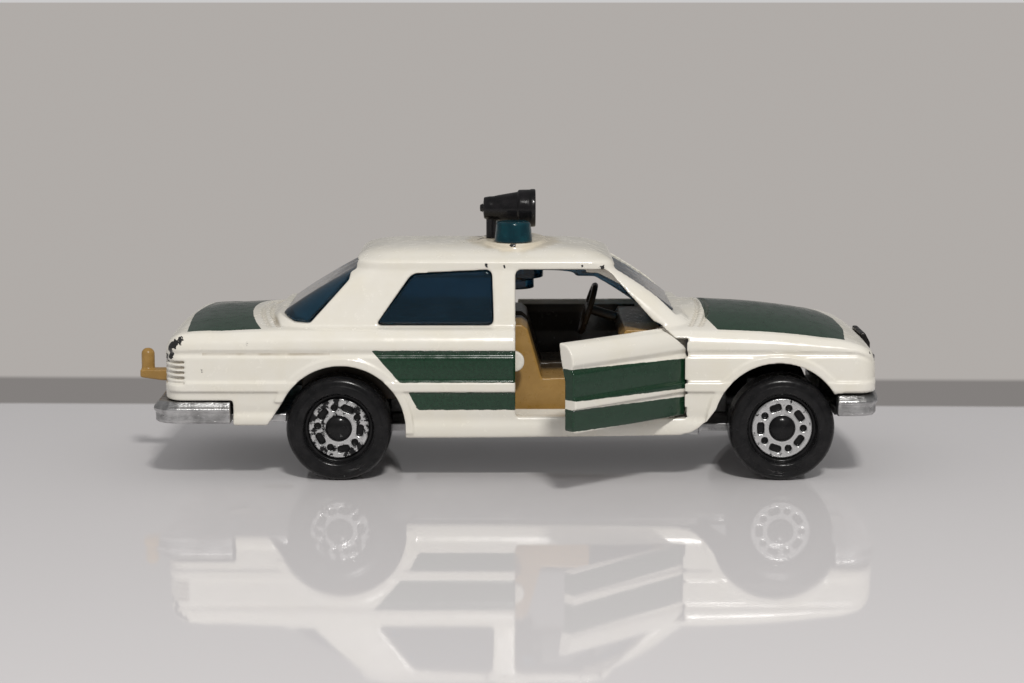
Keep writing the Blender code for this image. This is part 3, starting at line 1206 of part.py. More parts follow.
def make_horn():
    # Turned about its own axis, mouth forward, on a small foot
    length, mouth, back = HORN_LENGTH, HORN_MOUTH_RADIUS, HORN_BACK_RADIUS
    profile = [
        (0, 0.9 * MM),
        (mouth * 0.45, 1.1 * MM),
        (mouth - 0.45 * MM, length - 0.5 * MM),
        (mouth - 0.3 * MM, length),
        (mouth - 0.05 * MM, length),
        (mouth, length - 0.15 * MM),
        (mouth - 0.08 * MM, 0.68 * length),
        (mouth - 0.3 * MM, 0.66 * length),
        (back + 0.15 * MM, 0.3 * length),
        (back, 0.12 * length),
        (back - 0.1 * MM, 0.02 * length),
        (back * 0.35, 0),
        (back * 0.3, -0.3 * MM),
        (0, -0.35 * MM),
    ]
    body = turned("horn_bell", profile, 22)
    forward = Matrix.Rotation(math.radians(90), 4, "Y")
    x = PLATFORM_CENTRE - 3.3 * MM
    axis = PLATFORM_HEIGHT + HORN_AXIS_HEIGHT
    body.data.transform(Matrix.Translation((x, 0, axis)) @ forward)
    low, high = PLATFORM_HEIGHT - 0.4 * MM, axis - 0.6 * back
    join(body, cylinder("horn_foot", (horn_foot_x(), 0), "z", HORN_FOOT_RADIUS, low, high, 12))
    horn = baked(body, "horn", black)
    smooth(horn, 30)
    return horn


ribs_inside = body_loft("ribs_inside", 0.2 * MM)
glass_outside = cabin_loft("glass_outside", 0.3 * MM, WINDOW_SILL_HEIGHT - 0.6 * MM)

make_body()
make_door(-1, paint)
make_door(1, paint)
glazing = make_glazing()
for place, offset in (("right", -BEACON_OFFSET), ("left", BEACON_OFFSET)):
    stem = BEACON_STEM_RADIUS + FIT
    hole = cylinder("glazing_hole_" + place, (PLATFORM_CENTRE, offset), "z", stem, 0, FAR)
    cut(glazing, hole)
    make_beacon("beacon_" + place, offset)
smooth(glazing, 28)
make_horn()
make_interior()
make_base()
for place, axle in (("front", FRONT_AXLE), ("rear", REAR_AXLE)):
    make_axle(place + "_axle", axle)
    make_spring(place + "_axle_spring", axle, -1 if axle > 0 else 1)
    make_wheel("wheel_%s_right" % place, axle, -1)
    make_wheel("wheel_%s_left" % place, axle, 1)
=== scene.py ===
import math
import bmesh
import bpy
from mathutils import Matrix, Vector


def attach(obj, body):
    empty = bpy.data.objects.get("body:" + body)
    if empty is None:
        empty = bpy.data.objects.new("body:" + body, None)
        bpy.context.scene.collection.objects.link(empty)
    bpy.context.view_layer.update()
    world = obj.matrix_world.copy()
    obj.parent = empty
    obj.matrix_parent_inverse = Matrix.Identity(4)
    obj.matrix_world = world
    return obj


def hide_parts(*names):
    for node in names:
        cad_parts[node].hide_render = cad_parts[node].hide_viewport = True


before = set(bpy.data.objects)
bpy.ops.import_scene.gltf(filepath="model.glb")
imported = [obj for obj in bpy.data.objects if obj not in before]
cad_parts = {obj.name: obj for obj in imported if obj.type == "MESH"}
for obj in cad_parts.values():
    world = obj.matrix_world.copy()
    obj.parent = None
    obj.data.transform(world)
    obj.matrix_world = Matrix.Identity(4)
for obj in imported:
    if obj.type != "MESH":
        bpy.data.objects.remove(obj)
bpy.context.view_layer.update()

print("stage 1: frame loaded")

# Everything is drawn in millimetres above the floor and lowered to the frame of the base plate at the end
car = {
    "wheelbase": 46.2,
    "frontOverhang": 9.9,
    "rearOverhang": 18.2,
    "halfWidth": 13.65,
    "baseHeight": 4.5,
    "seam": 0.3,
    "fit": 0.15,
    "wheelRadius": 5.5,
    "wheelFace": 13.4,
    "wheelWidth": 4.3,
}
rearAxle = -car["wheelbase"] / 2
frontAxle = car["wheelbase"] / 2
tail = rearAxle - car["rearOverhang"]
nose = frontAxle + car["frontOverhang"]
far = 60.0  # beyond the car on every side
toFrame = Matrix.Scale(0.001, 4) @ Matrix.Translation((0, 0, -car["baseHeight"]))


# Mesh tools

def newObject(name, shape):
    bmesh.ops.recalc_face_normals(shape, faces=shape.faces)
    mesh = bpy.data.meshes.new(name)
    shape.to_mesh(mesh)
    shape.free()
    obj = bpy.data.objects.new(name, mesh)
    bpy.context.scene.collection.objects.link(obj)
    return obj


def loft(name, rings):
    # Rings with equal counts of points, closed at both ends
    shape = bmesh.new()
    rows = [[shape.verts.new(point) for point in ring] for ring in rings]
    for row, after in zip(rows, rows[1:]):
        for i in range(len(row)):
            shape.faces.new((row[i - 1], row[i], after[i], after[i - 1]))
    shape.faces.new(rows[0])
    shape.faces.new(rows[-1])
    return newObject(name, shape)


def prism(name, outline, axis, low, high):
    place = {
        "x": lambda u, v, w: (w, u, v),
        "y": lambda u, v, w: (u, w, v),
        "z": lambda u, v, w: (u, v, w),
    }[axis]
    return loft(name, [[place(u, v, w) for u, v in outline] for w in (low, high)])


def block(name, low, high):
    shape = bmesh.new()
    size = Vector(high) - Vector(low)
    bmesh.ops.create_cube(shape, matrix=Matrix.LocRotScale((Vector(low) + Vector(high)) / 2, None, size))
    return newObject(name, shape)


def circle(centre, radius, steps):
    angles = [2 * math.pi * (i + 0.5) / steps for i in range(steps)]
    return [(centre[0] + radius * math.cos(a), centre[1] + radius * math.sin(a)) for a in angles]


def cylinder(name, centre, axis, radius, low, high, steps=48):
    return prism(name, circle(centre, radius, steps), axis, low, high)


def turned(name, profile, steps=96):
    # A closed solid from a profile of (radius, height) that starts and ends on the axis
    shape = bmesh.new()
    rows = []
    for radius, height in profile:
        if radius == 0:
            rows.append([shape.verts.new((0, 0, height))])
        else:
            ring = [2 * math.pi * i / steps for i in range(steps)]
            rows.append([shape.verts.new((radius * math.cos(a), radius * math.sin(a), height)) for a in ring])
    for row, after in zip(rows, rows[1:]):
        for i in range(steps):
            a, b = row[i % len(row)], row[(i + 1) % len(row)]
            c, d = after[(i + 1) % len(after)], after[i % len(after)]
            shape.faces.new([v for k, v in enumerate((a, b, c, d)) if v not in (a, b, c, d)[:k]])
    return newObject(name, shape)


def quarterTurn(start, across, down, steps):
    # The stretch of a profile that rolls outwards and down from a point
    angles = [math.pi / 2 * k / steps for k in range(1, steps + 1)]
    return [(start[0] + across * math.sin(a), start[1] - down * (1 - math.cos(a))) for a in angles]


def applied(obj):
    mesh = bpy.data.meshes.new_from_object(obj.evaluated_get(bpy.context.evaluated_depsgraph_get()))
    obj.modifiers.clear()
    obj.data = mesh
    return obj


def combine(target, tools, operation="DIFFERENCE", solver="MANIFOLD"):
    for tool in tools:
        step = target.modifiers.new(tool.name, "BOOLEAN")
        step.operation = operation
        step.solver = solver
        step.object = tool
    applied(target)
    for tool in tools:
        bpy.data.objects.remove(tool)
    return target


def softened(obj, voxel, passes, budget):
    # The soft edges that casting, tumbling and paint leave, from a grid of this size in mm
    grid = obj.modifiers.new("grid", "REMESH")
    grid.mode = "VOXEL"
    grid.voxel_size = voxel
    relax = obj.modifiers.new("relax", "SMOOTH")
    relax.factor = 0.5
    relax.iterations = passes
    applied(obj)
    triangles = sum(len(face.vertices) - 2 for face in obj.data.polygons)
    if triangles > budget:
        thin = obj.modifiers.new("thin", "DECIMATE")
        thin.ratio = budget / triangles
        applied(obj)
    print("  ", obj.name, triangles, "triangles, kept", min(triangles, budget))
    return obj


def finished(obj, material, body, slot, *nodes):
    obj.data.transform(toFrame)
    obj.data.materials.clear()
    obj.data.materials.append(material)
    obj.data.shade_smooth()
    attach(obj, body)
    if nodes:
        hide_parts(*nodes)
    return obj


def rounded(outline, radius, steps=6):
    # The same outline with a curve at each corner
    result = []
    for i, here in enumerate(outline):
        ends = []
        for other in (outline[i - 1], outline[(i + 1) % len(outline)]):
            run = math.dist(here, other)
            share = min(radius, run * 0.45) / run
            ends.append([here[k] + (other[k] - here[k]) * share for k in (0, 1)])
        for s in range(steps + 1):
            t = s / steps
            a, b, c = (1 - t) ** 2, 2 * t * (1 - t), t * t
            result.append(tuple(a * ends[0][k] + b * here[k] + c * ends[1][k] for k in (0, 1)))
    return result


def through(points, at):
    # A smooth curve through rising points that never overshoots them
    if at <= points[0][0]:
        return points[0][1]
    if at >= points[-1][0]:
        return points[-1][1]
    i = max(k for k in range(len(points) - 1) if points[k][0] <= at)
    slopes = [(b[1] - a[1]) / (b[0] - a[0]) for a, b in zip(points, points[1:])]

    def lean(k):
        if k == 0:
            return 0.0
        if k == len(points) - 1:
            return slopes[-1]
        left, right = slopes[k - 1], slopes[k]
        return 0.0 if left * right <= 0 else 2 * left * right / (left + right)

    run = points[i + 1][0] - points[i][0]
    t = (at - points[i][0]) / run
    start = (2 * t**3 - 3 * t**2 + 1) * points[i][1] + (t**3 - 2 * t**2 + t) * (lean(i) * run)
    return start + (3 * t**2 - 2 * t**3) * points[i + 1][1] + (t**3 - t**2) * (lean(i + 1) * run)


def curved(points, steps, mirrorEnd=False):
    # A Catmull-Rom curve through the points; mirrorEnd makes it level where it meets the middle of the car
    last = (-points[-2][0], points[-2][1]) if mirrorEnd else points[-1]
    chain = [points[0]] + list(points) + [last]
    result = []
    for a, b, c, d in zip(chain, chain[1:], chain[2:], chain[3:]):
        for s in range(steps):
            t = s / steps
            result.append(
                tuple(
                    0.5 * (2 * b[k] + (c[k] - a[k]) * t + (2 * a[k] - 5 * b[k] + 4 * c[k] - d[k]) * t**2
                           + (3 * b[k] - a[k] - 3 * c[k] + d[k]) * t**3)
                    for k in (0, 1)
                )
            )
    return result + [tuple(points[-1])]


def sides():
    return ((-1, "right"), (1, "left"))


def span(side, a, b):
    return sorted((side * a, side * b))


# The form of the lower body

form = {
    "sill": 4.6,
    "sillRise": 0.4,
    "rearValance": 5.9,
    "frontValance": 6.5,
    "valanceRun": 5.0,
    "tuck": 0.12,
    "sillCurve": ((0.0, 0.22), (0.22, 0.4), (0.1, 0.62)),  # in from the side, share of the height
    "strip": 9.55,
    "stripWidth": 0.9,
    "stripProud": 0.28,
    "stripLip": 0.12,
    "crease": 13.4,
    "creaseDepth": 0.34,
    "shoulder": ((0.08, 0.22), (0.25, 0.55), (0.75, 0.85)),  # in from the side, share of the roll
    "deck": 16.8,
    "deckEdge": 1.5,
    "deckCurve": ((0.78, 0.38), (0.42, 0.82)),  # share of the width, share of the crown
    "crown": 0.9,
    "crownRun": 6.0,
    "bonnetCrown": 0.45,
    "cornerLength": 2.0,
    "cornerWidth": 3.2,
    "wall": 1.0,
    "tailDrop": ((0, 2.6), (0.7, 1.6), (1.9, 0.9), (5.3, 0.35), (12.3, 0)),
    "noseDrop": ((0, 3.9), (0.6, 2.9), (2.0, 2.0), (4.0, 1.3), (7.0, 0.75), (12.0, 0.3), (19.0, 0)),
    "bulge": ((3.0, 0), (8.0, 0.45), (14.0, 0.9), (18.0, 1.0), (24.0, 1.0), (34.0, 0)),
    "station": 0.3,
    "quickStation": 0.5,
    "crowding": 0.11,
}


def bonnetBulge(x):
    return form["bonnetCrown"] * through(form["bulge"], nose - x)


def deckTop(x):
    rear, front = through(form["tailDrop"], x - tail), through(form["noseDrop"], nose - x)
    return form["deck"] - rear - front + bonnetBulge(x)


def halfWidthAt(x):
    into = max(tail + form["cornerLength"] - x, x - (nose - form["cornerLength"]), 0) / form["cornerLength"]
    return car["halfWidth"] - form["cornerWidth"] * (1 - math.sqrt(max(0, 1 - min(into, 1) ** 2)))


def bodyBottom(x):
    run = form["valanceRun"]
    stops = [
        (rearAxle - run, form["rearValance"]),
        (rearAxle + run, form["sill"]),
        (frontAxle - run, form["sill"] + form["sillRise"]),
        (frontAxle + run, form["frontValance"]),
    ]
    return through(stops, x)


def bodySection(x, inset, plain):
    # Half of the outline at one station, from the middle of the bottom to the middle of the deck
    wide = halfWidthAt(x) - inset
    low = car["baseHeight"] - 2 if plain else bodyBottom(x)
    top = deckTop(x) - inset
    crown = form["crown"] * min(1, 0.3 + 0.7 * min(x - tail, nose - x) / form["crownRun"]) + bonnetBulge(x)
    edge = top - crown
    fold = min(form["crease"], edge - 1.0)
    deckEdge = wide - form["deckEdge"]
    shoulder = [(wide - back, fold + share * (edge - fold)) for back, share in form["shoulder"]]
    shoulder.append((deckEdge, edge))
    shoulder += [(deckEdge * along, edge + up * crown) for along, up in form["deckCurve"]]
    shoulder = curved(shoulder + [(0, top)], 5, True)
    strip, stripTop, lip = form["strip"], form["strip"] + form["stripWidth"], form["stripLip"]
    if plain:
        return [(0, low), (wide * 0.5, low), (wide, low), (wide, strip), (wide, fold)] + shoulder
    tuck, height = form["tuck"], strip - lip - low
    lower = [(wide - tuck - 0.35, low), (wide - tuck, low + 0.12)]
    lower += [(wide - back, low + share * height) for back, share in form["sillCurve"]]
    lower.append((wide - 0.02, strip - lip))
    proud = form["stripProud"]
    side = [
        (wide + proud, strip),
        (wide + proud, stripTop),
        (wide - 0.02, stripTop + lip),
        (wide, 0.5 * (stripTop + fold)),
        (wide - 0.03, fold - 0.35),
        (wide - form["creaseDepth"], fold),
    ]
    return [(0, low), (wide * 0.5, low)] + curved(lower, 4) + side + shoulder


def bodyForm(name, inset, plain=False):
    start, end = tail + inset, nose - inset
    length = end - start
    count = round(length / form["station"] / 2)
    rings = []
    for k in range(count + 1):
        # Stations crowd towards the ends, where the form turns fast
        t = k / count
        x = start + length * (t - form["crowding"] * math.sin(2 * math.pi * t))
        half = bodySection(x, inset, plain)
        left = [(x, y, z) for y, z in half]
        right = [(x, -y, z) for y, z in reversed(half[1:-1])]
        rings.append(left + right)
    return loft(name, rings)


# The form of the cabin

cabin = {
    "windowSill": 16.1,
    "windowTop": 21.8,
    "windowRadius": 0.7,
    "roof": 23.95,
    "roofHalfWidth": 9.75,
    "halfWidth": 11.6,
    "front": 14.3,
    "rear": -31.3,
    "roofFront": 5.9,
    "roofRear": -21.9,
    "pillarRear": -6.95,
    "pillarFront": -4.7,
    "sideGlassRear": -19.3,
    "sideGlassLean": 3.8,
    "screenHalfWidth": 9.8,
    "screenDepth": 2.6,
    "screenTaper": 0.35,
    "bow": 2.0,
    "frontCorner": (3.2, 0.8),  # radius at the belt, and how much smaller it is at the roof
    "rearCorner": (4.6, 1.2),
    "wallLevels": 14,
    "crownLevels": 5,  # for each step of the curves below
    "crownLift": ((0, 0), (1, 0.33), (2, 0.62), (3, 0.86), (4, 1.0), (5, 1.03)),
    "crownFront": ((0, 0), (1, 0.35), (2, 1.4), (3, 3.2), (4, 7.5), (5, 13.9)),
    "crownRear": ((0, 0), (1, 0.2), (2, 0.9), (3, 2.3), (4, 5.8), (5, 13.5)),
    "crownSide": ((0, 0), (1, 0.0), (2, 1.2), (3, 3.0), (4, 6.2), (5, 9.3)),
}


def roundedRectangle(front, rear, half, frontRadius, rearRadius, steps=10):
    corners = (
        (front - frontRadius, half - frontRadius, frontRadius),
        (rear + rearRadius, half - rearRadius, rearRadius),
        (rear + rearRadius, -(half - rearRadius), rearRadius),
        (front - frontRadius, -(half - frontRadius), frontRadius),
    )
    points = []
    for quarter, (cx, cy, radius) in enumerate(corners):
        for s in range(steps + 1):
            a = math.pi / 2 * (quarter + s / steps)
            points.append((cx + radius * math.cos(a), cy + radius * math.sin(a)))
    return points


def cabinForm(name, inset, low):
    belt = form["deck"] - form["crown"]
    rise = cabin["windowTop"] - belt
    shoulder = cabin["windowTop"] - 0.5 * inset
    frontRun, rearRun = cabin["front"] - cabin["roofFront"], cabin["rear"] - cabin["roofRear"]
    frontInset = inset * math.hypot(frontRun, rise) / rise
    rearInset = inset * math.hypot(rearRun, rise) / rise
    levels = []
    for k in range(cabin["wallLevels"] + 1):
        z = low + (shoulder - low) * k / cabin["wallLevels"]
        t = (z - belt) / rise
        bow = cabin["bow"] * t * (1 - t)
        front = cabin["front"] - frontRun * t + bow - frontInset
        rear = cabin["rear"] - rearRun * t - bow + rearInset
        half = cabin["halfWidth"] + (cabin["roofHalfWidth"] - cabin["halfWidth"]) * t - inset
        levels.append((z, t, front, rear, half))
    crown = cabin["roof"] - inset - shoulder
    for k in range(1, 5 * cabin["crownLevels"] + 1):
        u = k / cabin["crownLevels"]
        z = shoulder + through(cabin["crownLift"], u) * crown
        front = cabin["roofFront"] - through(cabin["crownFront"], u) - frontInset
        rear = cabin["roofRear"] + through(cabin["crownRear"], u) + rearInset
        levels.append((z, 1, front, rear, cabin["roofHalfWidth"] - through(cabin["crownSide"], u) - inset))
    rings = []
    for z, t, front, rear, half in levels:
        t = min(max(t, 0), 1)
        most = min(0.9 * half, 0.45 * (front - rear))
        corners = cabin["frontCorner"], cabin["rearCorner"]
        near, back = (min(wide - less * t, most) for wide, less in corners)
        rings.append([(x, y, z) for x, y in roundedRectangle(front, rear, half, near, back)])
    return loft(name, rings)


# Outlines of the openings

door = {
    "front": 12.3,
    "height": 7.0,
    "top": 16.25,
    "thickness": 1.3,
    "radius": 0.6,
    "shoulderRun": 2.9,
    "windowRun": 2.3,
    "pivotInset": 0.6,
    "pivotDepth": 1.65,
    "pivotGap": 0.27,
    "openAngle": math.radians(43.0),
}
doorRear = cabin["pillarFront"] + car["seam"]
pivotX = door["front"] - door["pivotInset"]
pivotY = car["halfWidth"] - door["pivotDepth"]
hingeTop = form["crease"] + 1.3
catchPlace = (doorRear - car["seam"] - 0.15, form["crease"] - 1.0)


def doorOutline(seam):
    front, rear, low = door["front"] + seam, doorRear - seam, door["height"] - seam
    return [
        (rear, low),
        (front, low),
        (front, form["crease"] + 0.35 + 2.2 * seam),
        (front - door["shoulderRun"] + 1.2 * seam, door["top"] + seam),
        (rear, door["top"] + seam),
    ]


def frontWindow(sill=16.0):
    foot, head = door["front"] - door["windowRun"], cabin["roofFront"] - 1.0
    share = (sill - door["top"]) / (cabin["windowTop"] - door["top"])
    return [
        (cabin["pillarFront"], sill),
        (foot + (head - foot) * share, sill),
        (head, cabin["windowTop"]),
        (cabin["pillarFront"], cabin["windowTop"]),
    ]


def rearWindow(grow=0.0):
    return [
        (cabin["sideGlassRear"] - grow, cabin["windowSill"] - grow),
        (cabin["pillarRear"] + grow, cabin["windowSill"] - grow),
        (cabin["pillarRear"] - 0.2 + grow, cabin["windowTop"] + grow),
        (cabin["sideGlassRear"] + cabin["sideGlassLean"] - grow, cabin["windowTop"] - 0.4 + grow),
    ]


screenEdges = {
    "windscreenTop": (1.1, 0.1),  # from the roof's front and the windows' top
    "windscreenFoot": (-2.2, 0.3),  # from the cabin's front and the deck
    "rearTop": (-0.1, -0.2),
    "rearKnee": (-0.2, -1.1),
    "rearFoot": (5.2, 0.25),  # from the cabin's rear and the window sill
    "rearToe": (3.6, 0.3),
}


def windscreenView(deep, shrink):
    (topX, topZ), (footX, footZ) = screenEdges["windscreenTop"], screenEdges["windscreenFoot"]
    top = (cabin["roofFront"] + topX - deep + 1.5 * shrink, cabin["windowTop"] + topZ - shrink)
    foot = (cabin["front"] + footX - deep + shrink, form["deck"] + footZ + shrink)
    return [foot, (foot[0] + 9, foot[1] + 0.5), (top[0] + 9, top[1] + 1), top]


def rearScreenView(deep, shrink):
    into = deep - shrink
    (topX, topZ), (kneeX, kneeZ) = screenEdges["rearTop"], screenEdges["rearKnee"]
    (footX, footZ), (toeX, toeZ) = screenEdges["rearFoot"], screenEdges["rearToe"]
    top = (cabin["roofRear"] + topX + into, cabin["windowTop"] + topZ - shrink)
    knee = (cabin["roofRear"] + kneeX + into, cabin["windowTop"] + kneeZ)
    foot = (cabin["rear"] + footX + into, cabin["windowSill"] + footZ + shrink)
    toe = (cabin["rear"] + toeX + into, cabin["windowSill"] + toeZ + shrink)
    return [toe, foot, knee, top, (top[0] - 9, top[1] + 5), (toe[0] - 9, toe[1] + 3.4)]


screens = (("windscreen", windscreenView), ("rearScreen", rearScreenView))


def screenCutters(name, view, shrink=0.0):
    # The wide opening in a screen's face and the hole through the wall, narrower towards the roof
    taper, deck = cabin["screenTaper"], form["deck"]
    made = []
    for part, deep, half in (
        ("Face", 0.0, cabin["halfWidth"] + 3),
        ("Hole", cabin["screenDepth"], cabin["screenHalfWidth"] - shrink),
    ):
        outline = [(x, half - taper * (z - deck), z) for x, z in view(deep, shrink)]
        made.append(loft(name + part, [[(x, side * y, z) for x, y, z in outline] for side in (-1, 1)]))
    return made


print("stage 2: forms ready")


# Sizes of the pieces round the body

roofKit = {
    "centre": -4.9,
    "halfLength": 3.5,
    "halfWidth": 7.0,
    "height": 24.2,
    "beaconOffset": 4.6,
    "beaconRadius": 2.02,
    "beaconHeight": 2.2,
    "stem": 0.9,
    "hornBack": 3.3,
    "hornLength": 5.7,
    "mouth": 2.05,
    "back": 1.25,
    "hornAxis": 3.2,
    "foot": 0.55,
    "footBack": 2.4,
}
bumper = {
    "width": 2.3,
    "rearHeight": 6.1,
    "frontHeight": 6.9,
    "rearLength": 8.2,
    "frontLength": 4.95,
    "rearReach": 1.2,
    "frontReach": 0.7,
    "cornerStretch": 0.55,
}
lamps = {"halfWidth": 10.4, "grille": 3.0, "top": deckTop(nose) + 0.5, "grilleTop": deckTop(nose) + 1.25}
hook = {"slot": 1.12, "armTop": 9.8}
posts = {"radius": 1.3, "head": 0.5, "rear": tail + 6.8, "front": nose - 3.4, "rearPan": 6.1, "frontPan": 6.8}


# Material tools

def plug(tree, socket, value):
    if isinstance(value, bpy.types.NodeSocket):
        tree.links.new(value, socket)
    else:
        socket.default_value = value


def newMaterial(name):
    mat = bpy.data.materials.new(name)
    mat.use_nodes = True
    return mat, mat.node_tree, placeInMm(mat.node_tree)


def addNode(tree, kind, settings=None, **inputs):
    # An input is named after its socket, or i and its number
    made = tree.nodes.new(kind)
    for key, value in (settings or {}).items():
        setattr(made, key, value)
    for key, value in inputs.items():
        plug(tree, made.inputs[int(key[1:]) if key[1:].isdigit() else key], value)
    return made


def calc(tree, operation, *values):
    made = addNode(tree, "ShaderNodeMath", {"operation": operation})
    for socket, value in zip(made.inputs, values):
        plug(tree, socket, value)
    return made.outputs[0]


def product(tree, first, *others):
    for value in others:
        first = calc(tree, "MULTIPLY", first, value)
    return first


def vector(tree, operation, *values, output="Vector"):
    made = addNode(tree, "ShaderNodeVectorMath", {"operation": operation})
    for socket, value in zip(made.inputs, values):
        plug(tree, socket, value)
    return made.outputs[output]


def scaled(tree, place, factor):
    return addNode(tree, "ShaderNodeVectorMath", {"operation": "SCALE"}, i0=place, Scale=factor).outputs[0]


def placeInMm(tree):
    # Object coordinates in millimetres above the floor
    coordinates = addNode(tree, "ShaderNodeTexCoord").outputs["Object"]
    return vector(tree, "ADD", scaled(tree, coordinates, 1000.0), (0, 0, car["baseHeight"]))


def turnedPlace(tree, place, centre, angle):
    # The same coordinates as if the piece were turned back about an upright axis
    spin = {"Vector": place, "Location": centre, "Rotation": (0, 0, angle)}
    made = addNode(tree, "ShaderNodeMapping", {"vector_type": "TEXTURE"}, **spin)
    return vector(tree, "ADD", made.outputs[0], centre)


def noise(tree, place, scale, detail=3.0, roughness=0.5):
    made = addNode(tree, "ShaderNodeTexNoise", Vector=place, Scale=scale, Detail=detail, Roughness=roughness)
    return made.outputs["Fac"]


def ramp(tree, value, low, high, start=0.0, end=1.0):
    made = addNode(tree, "ShaderNodeMapRange", {"interpolation_type": "SMOOTHSTEP"}, Value=value)
    for key, number in (("From Min", low), ("From Max", high), ("To Min", start), ("To Max", end)):
        made.inputs[key].default_value = number
    return made.outputs[0]


def mottle(tree, place, grain, levels):
    # Noise of this scale, detail and roughness, spread over these levels
    return ramp(tree, noise(tree, place, *grain), *levels)


def blendColour(tree, share, first, second):
    made = addNode(tree, "ShaderNodeMix", {"data_type": "RGBA"})
    for index, value in ((0, share), (6, first), (7, second)):
        plug(tree, made.inputs[index], (*value, 1.0) if isinstance(value, tuple) else value)
    return made.outputs[2]


def insideOutline(tree, u, v, corners):
    # Distance in from the nearest side of a convex outline, whose corners run counter-clockwise
    distance = None
    for (u0, v0), (u1, v1) in zip(corners, corners[1:] + corners[:1]):
        run = math.dist((u0, v0), (u1, v1))
        nu, nv = -(v1 - v0) / run, (u1 - u0) / run
        side = calc(tree, "MULTIPLY_ADD", v, nv, -(nu * u0 + nv * v0))
        side = calc(tree, "MULTIPLY_ADD", u, nu, side)
        distance = side if distance is None else calc(tree, "SMOOTH_MIN", distance, side, 0.25)
    return distance


def split(tree, place):
    return addNode(tree, "ShaderNodeSeparateXYZ", Vector=place).outputs


# Dirt and painted shade: darker where ambient occlusion finds corners and crevices
def cornerDirtAndShade(tree, reach, levels):
    corner = addNode(tree, "ShaderNodeAmbientOcclusion", {"samples": 6, "only_local": True}, Distance=reach)
    return ramp(tree, corner.outputs["AO"], *levels)


def finishShader(tree, settings, height, strength, distance):
    # The settings of the one shader, and a bump of this height
    shader = tree.nodes["Principled BSDF"]
    for key, value in settings.items():
        plug(tree, shader.inputs[key], value)
    bump = addNode(tree, "ShaderNodeBump", Height=height, Strength=strength, Distance=distance)
    tree.links.new(bump.outputs[0], shader.inputs["Normal"])


# Paint with its printed stripes, panels and chips

paint = {
    "white": (0.68, 0.655, 0.59),
    "yellowed": (0.64, 0.60, 0.49),
    "yellowing": ((0.22, 5.0, 0.6), (0.35, 0.75, 0.0, 0.5)),
    "stain": (0.50, 0.40, 0.24),
    "stainReach": (10.2, 8.4, 0.0, 0.42),
    "green": (0.004, 0.026, 0.011),
    "fadedGreen": (0.008, 0.038, 0.018),
    "fading": ((3.5, 3.0), (0.3, 0.8)),
    # Dirt and painted shade, for the corners and the rear wing's crease
    "dirtAndShade": (0.30, 0.24, 0.16),
    "metal": (0.06, 0.06, 0.06),
    # Painted shade on the inner faces
    "inside": (0.045, 0.040, 0.034),
    "dryGlue": (0.10, 0.065, 0.03),
    "glue": ((-7.9, -0.7, 24.2, 0.55), (-8.6, -0.2, 24.2, 0.4), (-7.2, -1.1, 24.2, 0.35)),
    "printEdge": (-0.03, 0.03),
    "flank": (12.9, 13.0),
    "rearFace": (-4.25, -4.1),
    "wingStripes": (
        ((-19.6, 13.8), (-16.7, 10.5), (-4.0, 10.5), (-4.0, 13.8)),
        ((-15.8, 9.5), (-14.8, 7.6), (-4.0, 7.6), (-4.0, 9.5)),
    ),
    "doorStripes": (
        ((-5.0, 10.37), (12.0, 9.85), (12.0, 12.95), (-5.0, 13.5)),
        ((-5.0, 7.25), (12.0, 6.8), (12.0, 8.95), (-5.0, 9.45)),
    ),
    "bonnetPanel": (
        (15.4, -12.1), (29.5, -12.1), (30.2, -6.0), (30.0, 2.0), (28.6, 8.0), (27.2, 12.1), (15.4, 12.1),
    ),
    "bootPanel": ((-38.8, -11.9), (-30.0, -11.9), (-30.0, 11.9), (-38.8, 11.9), (-39.6, 0.0)),
    "bonnetEnd": 14.6,
    "bootEnd": -33.0,
    "panelLow": 13.2,
    "panelBow": 0.0135,
    "bodyChips": (
        (-7.8, -9.6, 22.2, 0.26), (-5.9, -9.6, 22.2, 0.2), (2.3, -9.6, 22.1, 0.24),
        (4.4, -9.5, 22.0, 0.3), (-5.0, -6.9, 24.2, 0.32), (-40.45, -12.9, 14.1, 0.5),
        (-39.95, -13.0, 14.4, 0.5), (-39.4, -13.0, 14.7, 0.42), (-40.95, -12.2, 12.95, 0.45),
        (-40.4, -12.95, 13.3, 0.42), (-14.9, -13.5, 7.9, 0.16), (-37.0, -13.6, 11.7, 0.13),
        (-32.4, -13.4, 14.5, 0.1), (31.9, -12.6, 13.3, 0.28), (32.6, -11.9, 13.0, 0.5),
        (20.6, -13.6, 12.2, 0.12), (-25.7, -13.3, 14.2, 0.1), (-4.1, -13.2, 14.0, 0.2),
    ),
    "doorChips": (
        (-2.2, -13.2, 15.6, 0.14), (-1.1, -13.1, 15.8, 0.17), (4.6, -13.6, 7.3, 0.12),
        (-4.3, -13.5, 9.3, 0.14),
    ),
}
# Where the inner faces get painted shade
innerFace = {
    "cabinTop": (15.5, 15.3),
    "cabinRun": (-14.5, 23.4),  # middle, half length
    "archTop": (12.5, 12.3),
    "archRun": (0.5 * (tail + nose), 0.5 * (nose - tail) - 1.7),
    "depth": (12.62, 12.5),
    "foot": (7.35, 7.5),
    "catchEdge": (1.25, 1.35),
    "pocketRear": (9.2, 9.6),
    "pocketFront": (14.6, 14.3),
    "pocketDepth": (10.2, 10.5),
}


def chipMask(tree, place, chips, seed):
    wander = addNode(tree, "ShaderNodeTexNoise", Vector=place, Scale=2.6 + seed, Detail=3.0).outputs["Color"]
    shift = scaled(tree, vector(tree, "SUBTRACT", wander, (0.5, 0.5, 0.5)), 0.9)
    rough = vector(tree, "ADD", place, shift)
    nearest = None
    for x, y, z, radius in chips:
        past = calc(tree, "SUBTRACT", vector(tree, "DISTANCE", rough, (x, y, z), output="Value"), radius)
        nearest = past if nearest is None else calc(tree, "MINIMUM", nearest, past)
    return ramp(tree, nearest, 0.03, -0.03)


